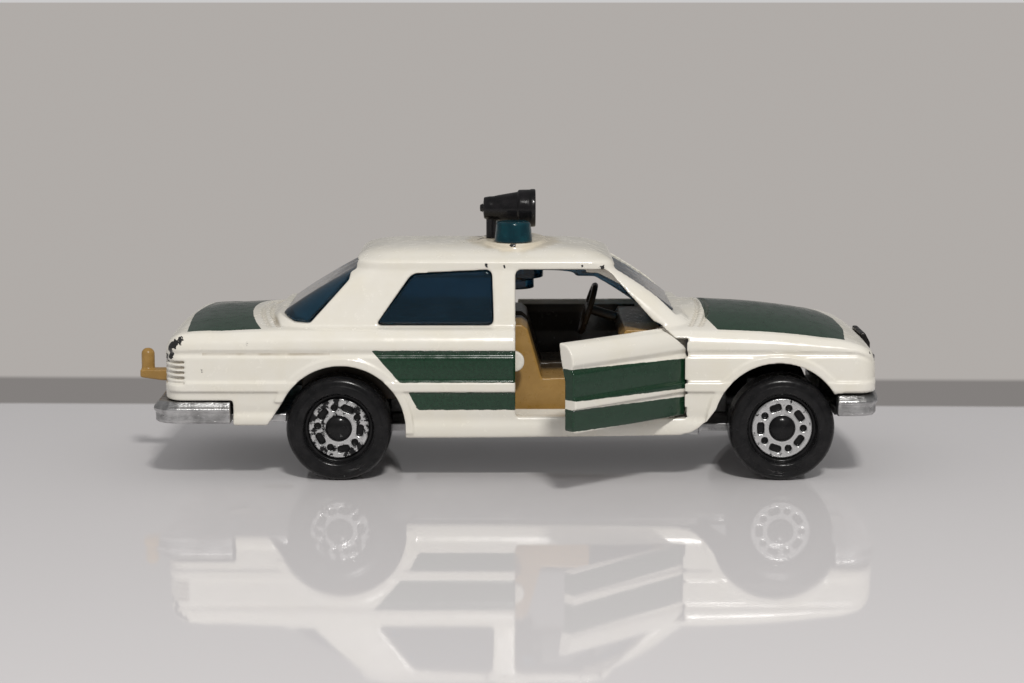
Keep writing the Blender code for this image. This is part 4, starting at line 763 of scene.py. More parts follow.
def stripeMask(tree, stripes, x, z, side, wobble, wrapped):
    # Stripes print on the flanks, and on a door's rear face where they wrap round
    printed = None
    for corners in stripes:
        here = calc(tree, "ADD", insideOutline(tree, x, z, corners), wobble)
        printed = here if printed is None else calc(tree, "MAXIMUM", printed, here)
    if wrapped:
        side = calc(tree, "MULTIPLY_ADD", ramp(tree, x, *reversed(paint["rearFace"])), 0.8, side)
    return product(tree, ramp(tree, printed, *paint["printEdge"]), ramp(tree, side, *paint["flank"]))


def panelMask(tree, x, y, z, wobble):
    # The panels' ends towards the screens are curved
    bow = product(tree, y, y, paint["panelBow"])
    front = calc(tree, "SUBTRACT", calc(tree, "SUBTRACT", x, paint["bonnetEnd"]), product(tree, bow, 0.85))
    rear = calc(tree, "SUBTRACT", calc(tree, "ADD", bow, paint["bootEnd"]), x)
    bonnet = calc(tree, "SMOOTH_MIN", insideOutline(tree, x, y, paint["bonnetPanel"]), front, 0.25)
    boot = calc(tree, "SMOOTH_MIN", insideOutline(tree, x, y, paint["bootPanel"]), rear, 0.25)
    tops = calc(tree, "ADD", calc(tree, "MAXIMUM", bonnet, boot), wobble)
    upright = calc(tree, "GREATER_THAN", z, paint["panelLow"])
    return product(tree, ramp(tree, tops, *paint["printEdge"]), upright)


def roofStain(tree, place, x, y, z, white):
    # Old glue has stained the roof round its platform
    ring = addNode(tree, "ShaderNodeCombineXYZ", X=calc(tree, "MULTIPLY_ADD", x, 1.6, 7.8), Y=y).outputs[0]
    reach = vector(tree, "LENGTH", ring, output="Value")
    reach = calc(tree, "MULTIPLY_ADD", noise(tree, place, 0.7, 4.0), 3.0, reach)
    stained = product(tree, ramp(tree, reach, *paint["stainReach"]), calc(tree, "GREATER_THAN", z, 23.0))
    white = blendColour(tree, stained, white, paint["stain"])
    return blendColour(tree, chipMask(tree, place, paint["glue"], 1.0), white, paint["dryGlue"])


def creaseDirtAndShade(tree, place, x, z, side):
    # Dirt and painted shade: a dark line along the rear wing's crease, where its undercut is in shadow
    near = ramp(tree, calc(tree, "ABSOLUTE", calc(tree, "ADD", z, -13.42)), 0.2, 0.05)
    wing = calc(tree, "COMPARE", x, -30.5, 6.6)
    return product(
        tree,
        near,
        ramp(tree, side, *paint["flank"]),
        wing,
        mottle(tree, place, (0.5, 3.0), (0.35, 0.6, 0.2, 0.6)),
    )


def innerShadeMask(tree, x, z, side, wrapped):
    # Painted shade: the casting's inner faces in the cabin and the arches are near black, apart from the
    # catches and the hinge pockets
    under, within = [], []
    for part in ("cabin", "arch"):
        under.append(ramp(tree, z, *innerFace[part + "Top"]))
        within.append(calc(tree, "COMPARE", x, *innerFace[part + "Run"]))
    upper, lower = (product(tree, *pair) for pair in zip(under, within))
    level = addNode(tree, "ShaderNodeCombineXYZ", X=x, Z=z).outputs[0]
    fromCatch = vector(tree, "DISTANCE", level, (catchPlace[0], 0, catchPlace[1]), output="Value")
    pocket = product(
        tree,
        ramp(tree, x, *innerFace["pocketRear"]),
        ramp(tree, side, *innerFace["pocketDepth"]),
        ramp(tree, x, *innerFace["pocketFront"]),
    )
    inner = product(
        tree,
        calc(tree, "MAXIMUM", upper, lower),
        ramp(tree, side, *innerFace["depth"]),
        ramp(tree, z, *innerFace["foot"]),
        ramp(tree, fromCatch, *innerFace["catchEdge"]),
        calc(tree, "SUBTRACT", 1.0, pocket),
    )
    return product(tree, inner, ramp(tree, x, *paint["rearFace"])) if wrapped else inner


def paintMaterial(name, stripes, chips, turn=0.0, wrapped=False, panels=False):
    mat, tree, place = newMaterial(name)
    if turn:
        place = turnedPlace(tree, place, (pivotX, -pivotY, 0), turn)
    x, y, z = split(tree, place)
    side = calc(tree, "ABSOLUTE", y)
    wobble = calc(tree, "MULTIPLY_ADD", noise(tree, place, 1.4, 4.0), 0.16, -0.08)
    printed = stripeMask(tree, stripes, x, z, side, wobble, wrapped)
    white = blendColour(tree, mottle(tree, place, *paint["yellowing"]), paint["white"], paint["yellowed"])
    green = blendColour(tree, mottle(tree, place, *paint["fading"]), paint["green"], paint["fadedGreen"])
    if panels:
        printed = calc(tree, "MAXIMUM", printed, panelMask(tree, x, y, z, wobble))
        white = roofStain(tree, place, x, y, z, white)
    bare = chipMask(tree, place, chips, 0.0)
    colour = blendColour(tree, printed, white, green)
    for share, over in (
        (cornerDirtAndShade(tree, 0.0011, (0.74, 0.30, 0.0, 0.6)), paint["dirtAndShade"]),
        (creaseDirtAndShade(tree, place, x, z, side), paint["dirtAndShade"]),
        (innerShadeMask(tree, x, z, side, wrapped), paint["inside"]),
        (bare, paint["metal"]),
    ):
        colour = blendColour(tree, share, colour, over)
    settings = {
        "Base Color": colour,
        "Metallic": product(tree, bare, 0.7),
        "Roughness": mottle(tree, place, (0.9, 6.0, 0.65), (0.35, 0.8, 0.16, 0.34)),
        "Coat Weight": 0.12,
        "Coat Roughness": 0.08,
    }
    peel = calc(tree, "SUBTRACT", noise(tree, place, 0.6, 1.0), product(tree, bare, 0.5))
    finishShader(tree, settings, peel, 0.12, 0.0001)
    return mat


zincLook = {
    "colours": ((0.30, 0.30, 0.30), (0.60, 0.60, 0.60)),
    # Dirt and painted shade, for the corners
    "dirtAndShade": (0.06, 0.055, 0.05),
    # Painted shade for the arches, also laid over the lamps and the radiator
    "dark": (0.035, 0.033, 0.032),
    "archHeight": (8.6, 9.2),
    "lampEnd": (nose - 1.0, nose - 1.4, 1.0, 0.96),
    "drawn": (0.25, 1.0, 2.5),
}


def zincMaterial():
    mat, tree, place = newMaterial("tumbledZinc")
    drawn = noise(tree, vector(tree, "MULTIPLY", place, zincLook["drawn"]), 1.3, 6.0, 0.7)
    colour = blendColour(tree, mottle(tree, place, (0.55, 4.0, 0.6), (0.3, 0.7)), *zincLook["colours"])
    colour = blendColour(tree, cornerDirtAndShade(tree, 0.0012, (0.8, 0.25, 0.0, 0.85)), colour, zincLook["dirtAndShade"])
    # Painted shade: the zinc is near black above the arches' height, where hardly any light reaches, and the
    # lamps and the radiator take the same near black
    x, y, z = split(tree, place)
    deep = product(tree, ramp(tree, z, *zincLook["archHeight"]), ramp(tree, x, *zincLook["lampEnd"]))
    settings = {
        "Base Color": blendColour(tree, deep, colour, zincLook["dark"]),
        "Metallic": 0.95,
        "Roughness": ramp(tree, drawn, 0.25, 0.8, 0.22, 0.55),
    }
    height = calc(tree, "ADD", product(tree, drawn, 0.5), noise(tree, place, 4.0, 3.0, 0.6))
    finishShader(tree, settings, height, 0.55, 0.00008)
    return mat


plastics = {
    "springSteel": {
        "colours": ((0.45, 0.45, 0.45), (0.6, 0.6, 0.6)),
        "roughness": 0.25,
        "grain": 2.0,
        "bump": 0.25,
        "specular": 0.5,
    },
    "tanMoulding": {
        "colours": ((0.28, 0.16, 0.04), (0.34, 0.20, 0.055)),
        "shade": (0.045, 0.030, 0.016),
        "roughness": 0.26,
        "grain": 1.2,
        "bump": 0.3,
        "specular": 0.5,
    },
    "blackMoulding": {
        "colours": ((0.006, 0.006, 0.0065), (0.012, 0.011, 0.012)),
        "roughness": 0.12,
        "grain": 2.4,
        "bump": 0.12,
        "specular": 0.28,
    },
}


def plasticMaterial(name):
    look = plastics[name]
    mat, tree, place = newMaterial(name)
    colour = blendColour(tree, mottle(tree, place, (0.7, 4.0, 0.6), (0.3, 0.75)), *look["colours"])
    if "shade" in look:
        # Darker from the middle of the cabin to its far side, and in the rear arches
        x, y, z = split(tree, place)
        hidden = product(tree, ramp(tree, y, -5.0, -1.5), ramp(tree, x, -39.0, -37.0))
        arch = product(tree, calc(tree, "COMPARE", x, rearAxle + 0.3, 7.6), ramp(tree, z, 13.0, 12.7))
        colour = blendColour(tree, calc(tree, "MAXIMUM", hidden, arch), colour, look["shade"])
    rough = look["roughness"]
    settings = {
        "Base Color": colour,
        "Roughness": mottle(tree, place, (1.6, 5.0, 0.65), (0.3, 0.8, rough, rough + 0.18)),
        "Specular IOR Level": look["specular"],
    }
    finishShader(tree, settings, noise(tree, place, look["grain"], 4.0, 0.55), look["bump"], 0.00006)
    return mat


clears = {
    "blueGlazing": {
        "colours": ((0.03, 0.12, 0.20), (0.05, 0.16, 0.26)),
        "cloud": (0.4, 3.0),
        "scuffs": ((1.1, 5.0, 0.7), (0.35, 0.85, 0.03, 0.16)),
        "transmission": 0.92,
        "ior": 1.46,
        "specular": 0.25,
        "grain": (0.6, 2.0),
        "bumpDepth": 0.0001,
    },
    "tealLens": {
        "colours": ((0.003, 0.032, 0.046), (0.006, 0.055, 0.072)),
        "cloud": (0.9, 3.0),
        "scuffs": ((2.0, 4.0), (0.3, 0.8, 0.12, 0.3)),
        "transmission": 0.35,
        "ior": 1.49,
        "specular": 0.3,
        "grain": (2.2, 3.0),
        "bumpDepth": 0.00006,
    },
}


def clearMaterial(name):
    look = clears[name]
    mat, tree, place = newMaterial(name)
    settings = {
        "Base Color": blendColour(tree, mottle(tree, place, look["cloud"], (0.3, 0.8)), *look["colours"]),
        "Roughness": mottle(tree, place, *look["scuffs"]),
        "Transmission Weight": look["transmission"],
        "IOR": look["ior"],
        "Specular IOR Level": look["specular"],
    }
    finishShader(tree, settings, noise(tree, place, *look["grain"]), 0.2, look["bumpDepth"])
    return mat


bodyPaint = paintMaterial("bodyPaint", paint["wingStripes"], paint["bodyChips"], panels=True)
doorPrint = (paint["doorStripes"], paint["doorChips"])
openDoorPaint = paintMaterial("openDoorPaint", *doorPrint, turn=door["openAngle"], wrapped=True)
closedDoorPaint = paintMaterial("closedDoorPaint", *doorPrint, wrapped=True)
zinc = zincMaterial()
steel, tan, black = (plasticMaterial(name) for name in ("springSteel", "tanMoulding", "blackMoulding"))
glass, teal = clearMaterial("blueGlazing"), clearMaterial("tealLens")
print("stage 3: materials ready")


# Body shell

shell = {
    "platformDepth": 1.4,
    "windowWall": 1.15,
    "doorwayDepth": 10.3,
    "headroom": 0.4,
    "stripGap": 0.25,
}
arches = {
    "rear": (rearAxle + 0.3, car["wheelRadius"], 6.7),  # x, z and radius
    "front": (frontAxle - 0.5, car["wheelRadius"] + 0.25, 6.75),
    "rearRim": 8.4,  # the rims run out at these heights
    "frontRim": 6.7,
    "lip": 0.8,
    "proud": 0.16,
    "rearFlare": (6.7 * math.cos(math.radians(25)), 6.7 * math.sin(math.radians(25)), 4.0),
    "frontFlare": (6.3, 2.15, 4.5),
    "wingFoot": ((12.6, 4.0), (12.6, 5.0), (13.5, 5.18), (14.25, 5.6), (14.95, 6.3), (17.0, 4.0)),
    "plate": ((-6.4, 11.3), (6.6, 13.6)),
    "plateWall": (6.9, 7.5),
}
hinges = {
    "bossWall": (-1.3, 0.6),
    "bossAhead": 2.2,
    "sillBossBack": 1.1,
    "topBossBack": 0.4,
    "pinHole": 0.45,
    "cheekWall": (10.1, 11.1),
    "cheek": ((-2.3, hingeTop - 0.9), (0.8, door["top"] - 0.5)),
    "ledge": ((10.6, 5.5), (13.3, 5.5), (13.35, 6.8), (12.4, 6.9), (10.6, 7.25)),
}
catch = {"radius": 1.1, "length": 2.2, "blockWall": (11.15, 12.75), "wall": (11.0, 11.95)}
groove = {
    "ribs": 5,
    "start": 10.25,
    "pitch": 0.54,
    "ribWidth": 0.3,
    "ribDepth": 0.5,
    "ribReach": 2.4,
    "lines": (-37.1, -34.1),
    "lineSpan": (10.6, 13.3),
    "lineWidth": 0.2,
    "lineDepth": 0.22,
    "lips": (
        ("frontLip", 15.0, -0.0115),
        ("frontLipOuter", 16.0, -0.0115),
        ("rearLip", -31.0, 0.0135),
        ("rearLipOuter", -31.9, 0.0135),
    ),
    "lipHalfLength": 11.3,
    "lipWidth": 0.4,
    "lipDepth": 0.32,
}


def skinOnly(cutter, depth):
    # Leaves the part of the cutter that reaches no deeper than this under the body's skin
    return combine(cutter, [bodyForm("skin", depth)])


def archRims():
    # The rolled lips round the wheel arches
    rims = []
    for side, name in sides():
        wall = span(side, car["halfWidth"] - 0.8, car["halfWidth"] + arches["proud"])
        for end, outwards in (("rear", -far), ("front", far)):
            x, z, radius = arches[end]
            rim = cylinder("rim" + name, (x, z), "y", radius + arches["lip"], *wall, 96)
            low, high = sorted((x, outwards))
            outer = block("outerArch", (low, -far, -far), (high, far, arches[end + "Rim"]))
            under = block("underArch", (-far, -far, -far), (far, far, form["sill"] + 0.5))
            rims.append(combine(rim, [outer, under]))
    return rims


def doorways():
    made = []
    pocket, floor = door["pivotDepth"] + door["pivotGap"], door["height"] - car["seam"]
    strip = (form["strip"] - shell["stripGap"], form["strip"] + form["stripWidth"] + shell["stripGap"])
    for side, name in sides():
        wall = span(side, cabin["roofHalfWidth"] - shell["windowWall"], far)
        centre = (pivotX, side * pivotY)
        opening = rounded(doorOutline(car["seam"]), door["radius"])
        made += [
            prism("doorHole" + name, opening, "y", *span(side, shell["doorwayDepth"], far)),
            prism("frontWindow" + name, rounded(frontWindow(), cabin["windowRadius"]), "y", *wall),
            prism("rearWindow" + name, rounded(rearWindow(), cabin["windowRadius"]), "y", *wall),
            cylinder("pocket" + name, centre, "z", pocket, floor, hingeTop + shell["headroom"]),
            cylinder("stripPocket" + name, centre, "z", pocket + door["pivotGap"], *strip),
        ]
    return made


def wheelArches():
    made = []
    for end in ("rear", "front"):
        x, z, radius = arches[end]
        made.append(cylinder(end + "Arch", (x, z), "y", radius, -far, far, 96))
    for end in ("rear", "front"):
        # Behind each wheel the arch runs straight down to the sill
        x, z, radius = arches[end]
        back, up, run = arches[end + "Flare"]
        flare = [(x, z + up - 6), (x, z + up), (x - back, z + up), (x - back - run, z + up - 6)]
        made.append(prism(end + "Flare", flare, "y", -far, far))
    made.append(prism("wingFoot", arches["wingFoot"], "y", -far, far))
    return made


def endNotches():
    # Room for the bumpers, lamps, radiator and tow hook
    fit, seam = car["fit"], car["seam"]
    rearNotch = tail - bumper["rearReach"] + bumper["rearLength"] + seam
    frontNotch = nose + bumper["frontReach"] - bumper["frontLength"] - seam
    rearTop, frontTop = (bumper[end] + bumper["width"] + fit for end in ("rearHeight", "frontHeight"))
    grille = lamps["grille"] + 0.1
    return [
        block("rearNotch", (-far, -far, -far), (rearNotch, far, rearTop)),
        block("frontNotch", (frontNotch, -far, -far), (far, far, frontTop)),
        block("lampHole", (nose - 2, -lamps["halfWidth"], 0), (far, lamps["halfWidth"], lamps["top"] + 0.1)),
        block("grilleHole", (nose - 0.9, -grille, 0), (far, grille, lamps["grilleTop"] + 0.1)),
        block("hookSlot", (-far, -hook["slot"], 0), (tail + 2, hook["slot"], hook["armTop"] + fit)),
    ]


def fixings():
    # Posts that rivet the base on, bosses for the door pins, and half-round catches
    made = []
    for end in ("rear", "front"):
        x, pan, radius = posts[end], posts[end + "Pan"], posts["radius"]
        made.append(cylinder(end + "Post", (x, 0), "z", radius, pan + 0.1, deckTop(x) - 0.5))
        made.append(cylinder(end + "PostHead", (x, 0), "z", radius + posts["head"], pan + 0.05, pan + 0.3))
    (plateRear, plateLow), (plateFront, plateTop) = arches["plate"]
    (cheekRear, cheekLow), (cheekFront, cheekTop) = hinges["cheek"]
    bossEnd, wheel = pivotX + hinges["bossAhead"], arches["front"][0]
    edge, middle, doorway = doorRear - car["seam"], catchPlace[1], door["height"] - car["seam"]
    for side, name in sides():
        boss = span(side, *(pivotY + out for out in hinges["bossWall"]))
        plate, cheek = span(side, *arches["plateWall"]), span(side, *hinges["cheekWall"])
        for label, wall, (rear, low), (ahead, top) in (
            ("sillBoss", boss, (pivotX - hinges["sillBossBack"], 5.5), (bossEnd, doorway)),
            ("topBoss", boss, (pivotX - hinges["topBossBack"], hingeTop + 0.15), (bossEnd, hingeTop + 0.9)),
            ("archPlate", plate, (wheel + plateRear, plateLow), (wheel + plateFront, plateTop)),
            ("cheek", cheek, (door["front"] + cheekRear, cheekLow), (door["front"] + cheekFront, cheekTop)),
        ):
            made.append(block(label + name, (rear, wall[0], low), (ahead, wall[1], top)))
        ledge = [(side * y, z) for y, z in hinges["ledge"]]
        made.append(prism("ledge" + name, ledge, "x", doorRear - 0.6, door["front"] - 2.7))
        y0, y1 = span(side, *catch["blockWall"])
        rear, front = edge - catch["length"], edge - 0.1
        made.append(block("catchBlock" + name, (rear, y0, middle - 1), (front, y1, middle + 1)))
        made.append(cylinder("catch" + name, catchPlace, "y", catch["radius"], *span(side, *catch["wall"])))
    return made


def holesAndGrooves():
    # Holes for pins and stems, ribs round the tail, panel lines, and the lips that curve round both screens
    pins, stems = [], []
    for side, name in sides():
        pin = (pivotX, side * pivotY)
        pins.append(cylinder("pinHole" + name, pin, "z", hinges["pinHole"], 5.55, hingeTop + 0.6))
        stem, radius = (roofKit["centre"], side * roofKit["beaconOffset"]), roofKit["stem"] + car["fit"]
        stems.append(cylinder("stemHole" + name, stem, "z", radius, cabin["roof"] - 3, far))
    made = pins + stems
    foot = (roofKit["centre"] - roofKit["footBack"], 0)
    made.append(cylinder("hornHole", foot, "z", roofKit["foot"] + car["fit"], roofKit["height"] - 0.5, far))
    for side, name in sides():
        y0, y1 = span(side, car["halfWidth"] - 3.4, far)
        for i in range(groove["ribs"]):
            z = groove["start"] + i * groove["pitch"]
            end = (tail + groove["ribReach"], y1, z + groove["ribWidth"])
            made.append(skinOnly(block("rib%s%d" % (name, i), (-far, y0, z), end), groove["ribDepth"]))
        y0, y1 = span(side, 12.0, far)
        low, high = groove["lineSpan"]
        for x in groove["lines"]:
            line = block("line%s%d" % (name, -x), (x, y0, low), (x + groove["lineWidth"], y1, high))
            made.append(skinOnly(line, groove["lineDepth"]))
    ys = [groove["lipHalfLength"] * (k / 12 - 1) for k in range(25)]
    half = groove["lipWidth"] / 2
    for name, middle, bend in groove["lips"]:
        outline = [(middle + bend * y * y - half, y) for y in ys]
        outline += [(middle + bend * y * y + half, y) for y in reversed(ys)]
        lip = prism(name, outline, "z", form["deck"] - 2.2, form["deck"] + 1.5)
        made.append(skinOnly(lip, groove["lipDepth"]))
    return made


def makeBody():
    body = bodyForm("bodySkin", 0)
    combine(body, [cabinForm("cabinForm", 0, form["deck"] - 2.1)], "UNION")
    angles = [2 * math.pi * i / 72 for i in range(72)]
    long, wide = roofKit["halfLength"], roofKit["halfWidth"]
    oval = [(roofKit["centre"] + long * math.cos(a), wide * math.sin(a)) for a in angles]
    platform = prism("platform", oval, "z", cabin["roof"] - shell["platformDepth"], roofKit["height"])
    combine(body, [platform], "UNION")
    combine(body, archRims(), "UNION")
    wall = form["wall"]
    combine(body, [bodyForm("bodyInside", wall, True), cabinForm("cabinInside", wall, form["deck"] - 3.1)])
    openings = doorways()
    for name, view in screens:
        openings += screenCutters(name, view)
    combine(body, openings + wheelArches() + endNotches())
    combine(body, fixings(), "UNION")
    return combine(body, holesAndGrooves())


bodyPiece = softened(makeBody(), 0.12, 9, 195000)
finished(bodyPiece, bodyPaint, "chassis", "body_paint", "body_shell")
print("stage 4: body ready")


# Doors

leafLook = {"barrel": 0.6, "pin": 0.3, "lean": 0.6, "topLean": 1.0}


def makeDoor(side, name, angle, material):
    leaf = bodyForm(name, 0)
    outline = rounded(doorOutline(0), door["radius"])
    combine(leaf, [prism("doorOutline", outline, "y", *span(side, 2, far))], "INTERSECT")
    inner = car["halfWidth"] - door["thickness"]
    band = [
        (far, door["height"] - 1),
        (far, door["top"] + 1),
        (inner - leafLook["topLean"], door["top"] + 1),
        (inner - leafLook["lean"], form["crease"] + 1.0),
        (inner, form["crease"] - 1.2),
        (inner, door["height"] - 1),
    ]
    combine(leaf, [prism("doorBand", [(side * y, z) for y, z in band], "x", -far, far)], "INTERSECT")
    centre = (pivotX, side * pivotY)
    # The leading edge is round about the pin, and runs in the body's pocket
    leading = cylinder("doorNose", centre, "z", door["pivotDepth"], -far, far, 96)
    combine(leading, [block("doorRest", (-far, -far, -far - 1), (pivotX, far, far + 1))], "UNION")
    combine(leaf, [leading], "INTERSECT")
    barrel = cylinder("doorBarrel", centre, "z", leafLook["barrel"], door["height"], hingeTop - 0.75)
    pin = cylinder("doorPin", centre, "z", leafLook["pin"], 5.7, hingeTop + 0.45, 24)
    combine(leaf, [barrel, pin], "UNION")
    softened(leaf, 0.09, 3, 60000)
    pivot = Matrix.Translation((*centre, 0))
    leaf.data.transform(pivot @ Matrix.Rotation(angle, 4, "Z") @ pivot.inverted())
    body = "right_door" if side < 0 else "left_door"
    return finished(leaf, material, body, "body_paint", "door_right" if side < 0 else "door_left")


makeDoor(-1, "rightDoorLeaf", door["openAngle"], openDoorPaint)
makeDoor(1, "leftDoorLeaf", 0.0, closedDoorPaint)
print("stage 5: doors ready")


# Glazing

glazing = {
    "inset": 1.15,
    "outside": 0.3,
    "skin": 0.9,
    "foot": 15.5,
    "boss": 2.2,
    "bossDrop": 2.9,
    "flange": 3.2,
    "flangeDrop": 1.7,
    "strip": 14.9,
    "padRadius": 0.6,
    "padWall": 1.75,
    "gapWall": 2.75,
}


def makeGlazing():
    pane = cabinForm("glazingForm", glazing["inset"], glazing["foot"])
    fit, roofSide = car["fit"], cabin["roofHalfWidth"]
    pads = []
    for side, name in sides():
        outline = rounded(rearWindow(-fit), glazing["padRadius"])
        pads.append(prism("rearPad" + name, outline, "y", *span(side, roofSide - glazing["padWall"], far)))
    for name, view in screens:
        pads += reversed(screenCutters(name + "Pad", view, fit))
    for pad in pads:
        combine(pad, [cabinForm("glassOutside", glazing["outside"], glazing["foot"])], "INTERSECT")
    combine(pane, pads, "UNION")
    combine(pane, [cabinForm("glazingInside", glazing["inset"] + glazing["skin"], glazing["foot"] - 1.5)])
    bosses, holes = [], []
    top = cabin["windowTop"] + 0.4
    for side, name in sides():
        centre = (roofKit["centre"], side * roofKit["beaconOffset"])
        flange, boss = top - glazing["flangeDrop"], top - glazing["bossDrop"]
        bosses.append(cylinder("bossFlange" + name, centre, "z", glazing["flange"], flange, top, 64))
        bosses.append(cylinder("boss" + name, centre, "z", glazing["boss"], boss, top, 64))
        holes.append(cylinder("glazingHole" + name, centre, "z", roofKit["stem"] + fit, 0, far))
        outline = rounded(frontWindow(glazing["strip"]), cabin["windowRadius"])
        holes.append(prism("frontGap" + name, outline, "y", *span(side, roofSide - glazing["gapWall"], far)))
    combine(pane, bosses, "UNION")
    combine(pane, holes)
    return softened(pane, 0.13, 3, 120000)


finished(makeGlazing(), glass, "chassis", "blue_glazing", "glazing")
print("stage 6: glazing ready")


# Interior and base, from merged copies of the plain ones

baseLook = {
    "grilleRear": 28.0,
    "grilleWall": 12.2,
    "grilleDepth": 0.5,
    "stretchFrom": (6.0, 12.0),  # out from the middle
    "stretchAlong": (-39.0, -41.5),
}


def copied(node):
    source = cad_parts[node]
    mesh = bpy.data.meshes.new_from_object(source)
    mesh.transform(toFrame.inverted() @ source.matrix_world)
    shape = bmesh.new()
    shape.from_mesh(mesh)
    bmesh.ops.remove_doubles(shape, verts=shape.verts, dist=0.0005)
    return newObject(node + "Fine", shape)


def partWay(value, start, end):
    return min(max((value - start) / (end - start), 0), 1)


def makeBase():
    base = copied("base_plate")
    half, rear = lamps["grille"] + 1, baseLook["grilleRear"]
    front = nose - baseLook["grilleDepth"]
    behind = block("behindRadiator", (rear, -half, baseLook["grilleWall"]), (front, half, 20))
    above = block("aboveRadiator", (rear, -half, lamps["grilleTop"]), (far, half, 20))
    combine(base, [behind, above], solver="EXACT")
    for vertex in base.data.vertices:
        # The rear bumper's corners stand out further than the plain solid's
        out = partWay(abs(vertex.co.y), *baseLook["stretchFrom"])
        vertex.co.x -= bumper["cornerStretch"] * out * partWay(vertex.co.x, *baseLook["stretchAlong"])
    return softened(base, 0.11, 3, 160000)


interiorPiece = softened(copied("interior"), 0.11, 6, 120000)
finished(interiorPiece, tan, "chassis", "interior_plastic", "interior")
finished(makeBase(), zinc, "chassis", "bare_zinc", "base_plate")
print("stage 7: interior and base ready")


# Wheels

hub = {
    "well": 3.75,
    "ring": 3.1,
    "dome": 1.35,
    "domeTop": -0.12,
    "domeFall": 0.62,
    "recess": 0.55,
    "middle": 2.22,
    "dot": 0.37,
    "dash": (0.37, 0.62),
    "count": 5,
    "shoulder": (0.75, 0.95),
    "foil": (0.62, 0.62, 0.62),
    "black": ((0.006, 0.006, 0.0065), (0.014, 0.0135, 0.014)),
}


def wheelMaterial(name, axle, side, worn):
    mat, tree, place = newMaterial(name)
    x, y, z = split(tree, place)
    across = calc(tree, "SUBTRACT", x, axle)
    up = calc(tree, "SUBTRACT", z, car["wheelRadius"])
    radius = calc(tree, "SQRT", calc(tree, "ADD", product(tree, across, across), product(tree, up, up)))
    depth = calc(tree, "SUBTRACT", car["wheelFace"], product(tree, y, side))
    raised = ramp(tree, depth, hub["recess"] + 0.30, hub["recess"] + 0.20)
    inner = ramp(tree, radius, hub["dome"] + 0.02, hub["dome"] + 0.08)
    outer = ramp(tree, radius, hub["ring"] + 0.12, hub["ring"] + 0.02)
    # The foil goes first from its outer edge
    rubbed = product(tree, calc(tree, "SUBTRACT", radius, 2.2), -0.05)
    torn = calc(tree, "ADD", noise(tree, place, 1.4, 6.0, 0.68), rubbed)
    foil = product(tree, raised, product(tree, inner, outer), ramp(tree, torn, worn, worn + 0.06))
    base = blendColour(tree, mottle(tree, place, (0.8, 4.0, 0.6), (0.3, 0.8)), *hub["black"])
    settings = {
        "Base Color": blendColour(tree, foil, base, hub["foil"]),
        "Metallic": product(tree, foil, 0.75),
        "Roughness": mottle(tree, place, (1.5, 5.0, 0.65), (0.3, 0.8, 0.17, 0.33)),
        "Specular IOR Level": 0.22,
    }
    height = calc(tree, "ADD", noise(tree, place, 3.0, 4.0, 0.6), product(tree, foil, 0.35))
    finishShader(tree, settings, height, 0.15, 0.00006)
    return mat


def ringOf(unit, count, radius, start):
    # A Geometry Nodes tree that sets copies of one cutter round a circle
    tree = bpy.data.node_groups.new(unit.name + "Ring", "GeometryNodeTree")
    face = tree.interface
    face.new_socket("Geometry", in_out="INPUT", socket_type="NodeSocketGeometry")
    wanted = {}
    for label, value in (("Count", count), ("Radius", radius), ("Start", start)):
        kind = "Int" if label == "Count" else "Float"
        wanted[face.new_socket(label, in_out="INPUT", socket_type="NodeSocket" + kind).identifier] = value
    face.new_socket("Geometry", in_out="OUTPUT", socket_type="NodeSocketGeometry")
    source, target = tree.nodes.new("NodeGroupInput"), tree.nodes.new("NodeGroupOutput")
    given = source.outputs
    points = addNode(tree, "GeometryNodeMeshCircle", Vertices=given["Count"], Radius=given["Radius"])
    step = calc(tree, "DIVIDE", 2 * math.pi, given["Count"])
    turn = calc(tree, "MULTIPLY", tree.nodes.new("GeometryNodeInputIndex").outputs[0], step)
    rotation = addNode(tree, "ShaderNodeCombineXYZ", Z=turn)
    cutter = addNode(tree, "GeometryNodeObjectInfo", Object=unit)
    copies = addNode(
        tree,
        "GeometryNodeInstanceOnPoints",
        Points=points.outputs[0],
        Instance=cutter.outputs["Geometry"],
        Rotation=rotation.outputs[0],
    )
    whole = addNode(tree, "ShaderNodeCombineXYZ", Z=given["Start"])
    spun = addNode(tree, "GeometryNodeTransform", Geometry=copies.outputs[0], Rotation=whole.outputs[0])
    real = addNode(tree, "GeometryNodeRealizeInstances", Geometry=spun.outputs[0])
    painted = addNode(tree, "GeometryNodeSetMaterial", Geometry=real.outputs[0], Material=black)
    tree.links.new(painted.outputs[0], target.inputs[0])
    ring = bpy.data.objects.new(unit.name + "Ring", bpy.data.meshes.new(unit.name + "Ring"))
    bpy.context.scene.collection.objects.link(ring)
    modifier = ring.modifiers.new("ring", "NODES")
    modifier.node_group = tree
    for identifier, value in wanted.items():
        modifier[identifier] = value
    applied(ring)
    ring.data.materials.clear()
    bpy.data.objects.remove(unit)
    return ring


def wheelProfile():
    # From the middle of the hub's face, over the tyre and down to the axle's bore
    radius, back = car["wheelRadius"], -car["wheelWidth"]
    floor, top = -hub["recess"] - 0.15, hub["domeTop"]
    tread, fall = hub["shoulder"]
    return [
        (0, top),
        *quarterTurn((0, top), hub["dome"], hub["domeFall"], 8),
        (hub["dome"] + 0.05, floor),
        (hub["ring"], floor),
        (hub["ring"] + 0.1, floor - 0.3),
        (hub["well"] - 0.22, floor - 0.3),
        (hub["well"] - 0.05, top),
        (hub["well"] + 0.1, 0.0),
        (4.45, 0.0),
        (4.6, -0.07),
        (radius - tread, -0.1),
        *quarterTurn((radius - tread, -0.1), tread, fall, 8),
        (radius, back + 0.6),
        (radius - 0.1, back + 0.2),
        (radius - 0.35, back),
        (radius - 1.3, back),
        (radius - 1.5, back + 1.2),
        (1.3, back + 1.2),
        (1.3, back),
        (0.6, back),
        (0.6, -1.2),
        (0, -1.2),
    ]


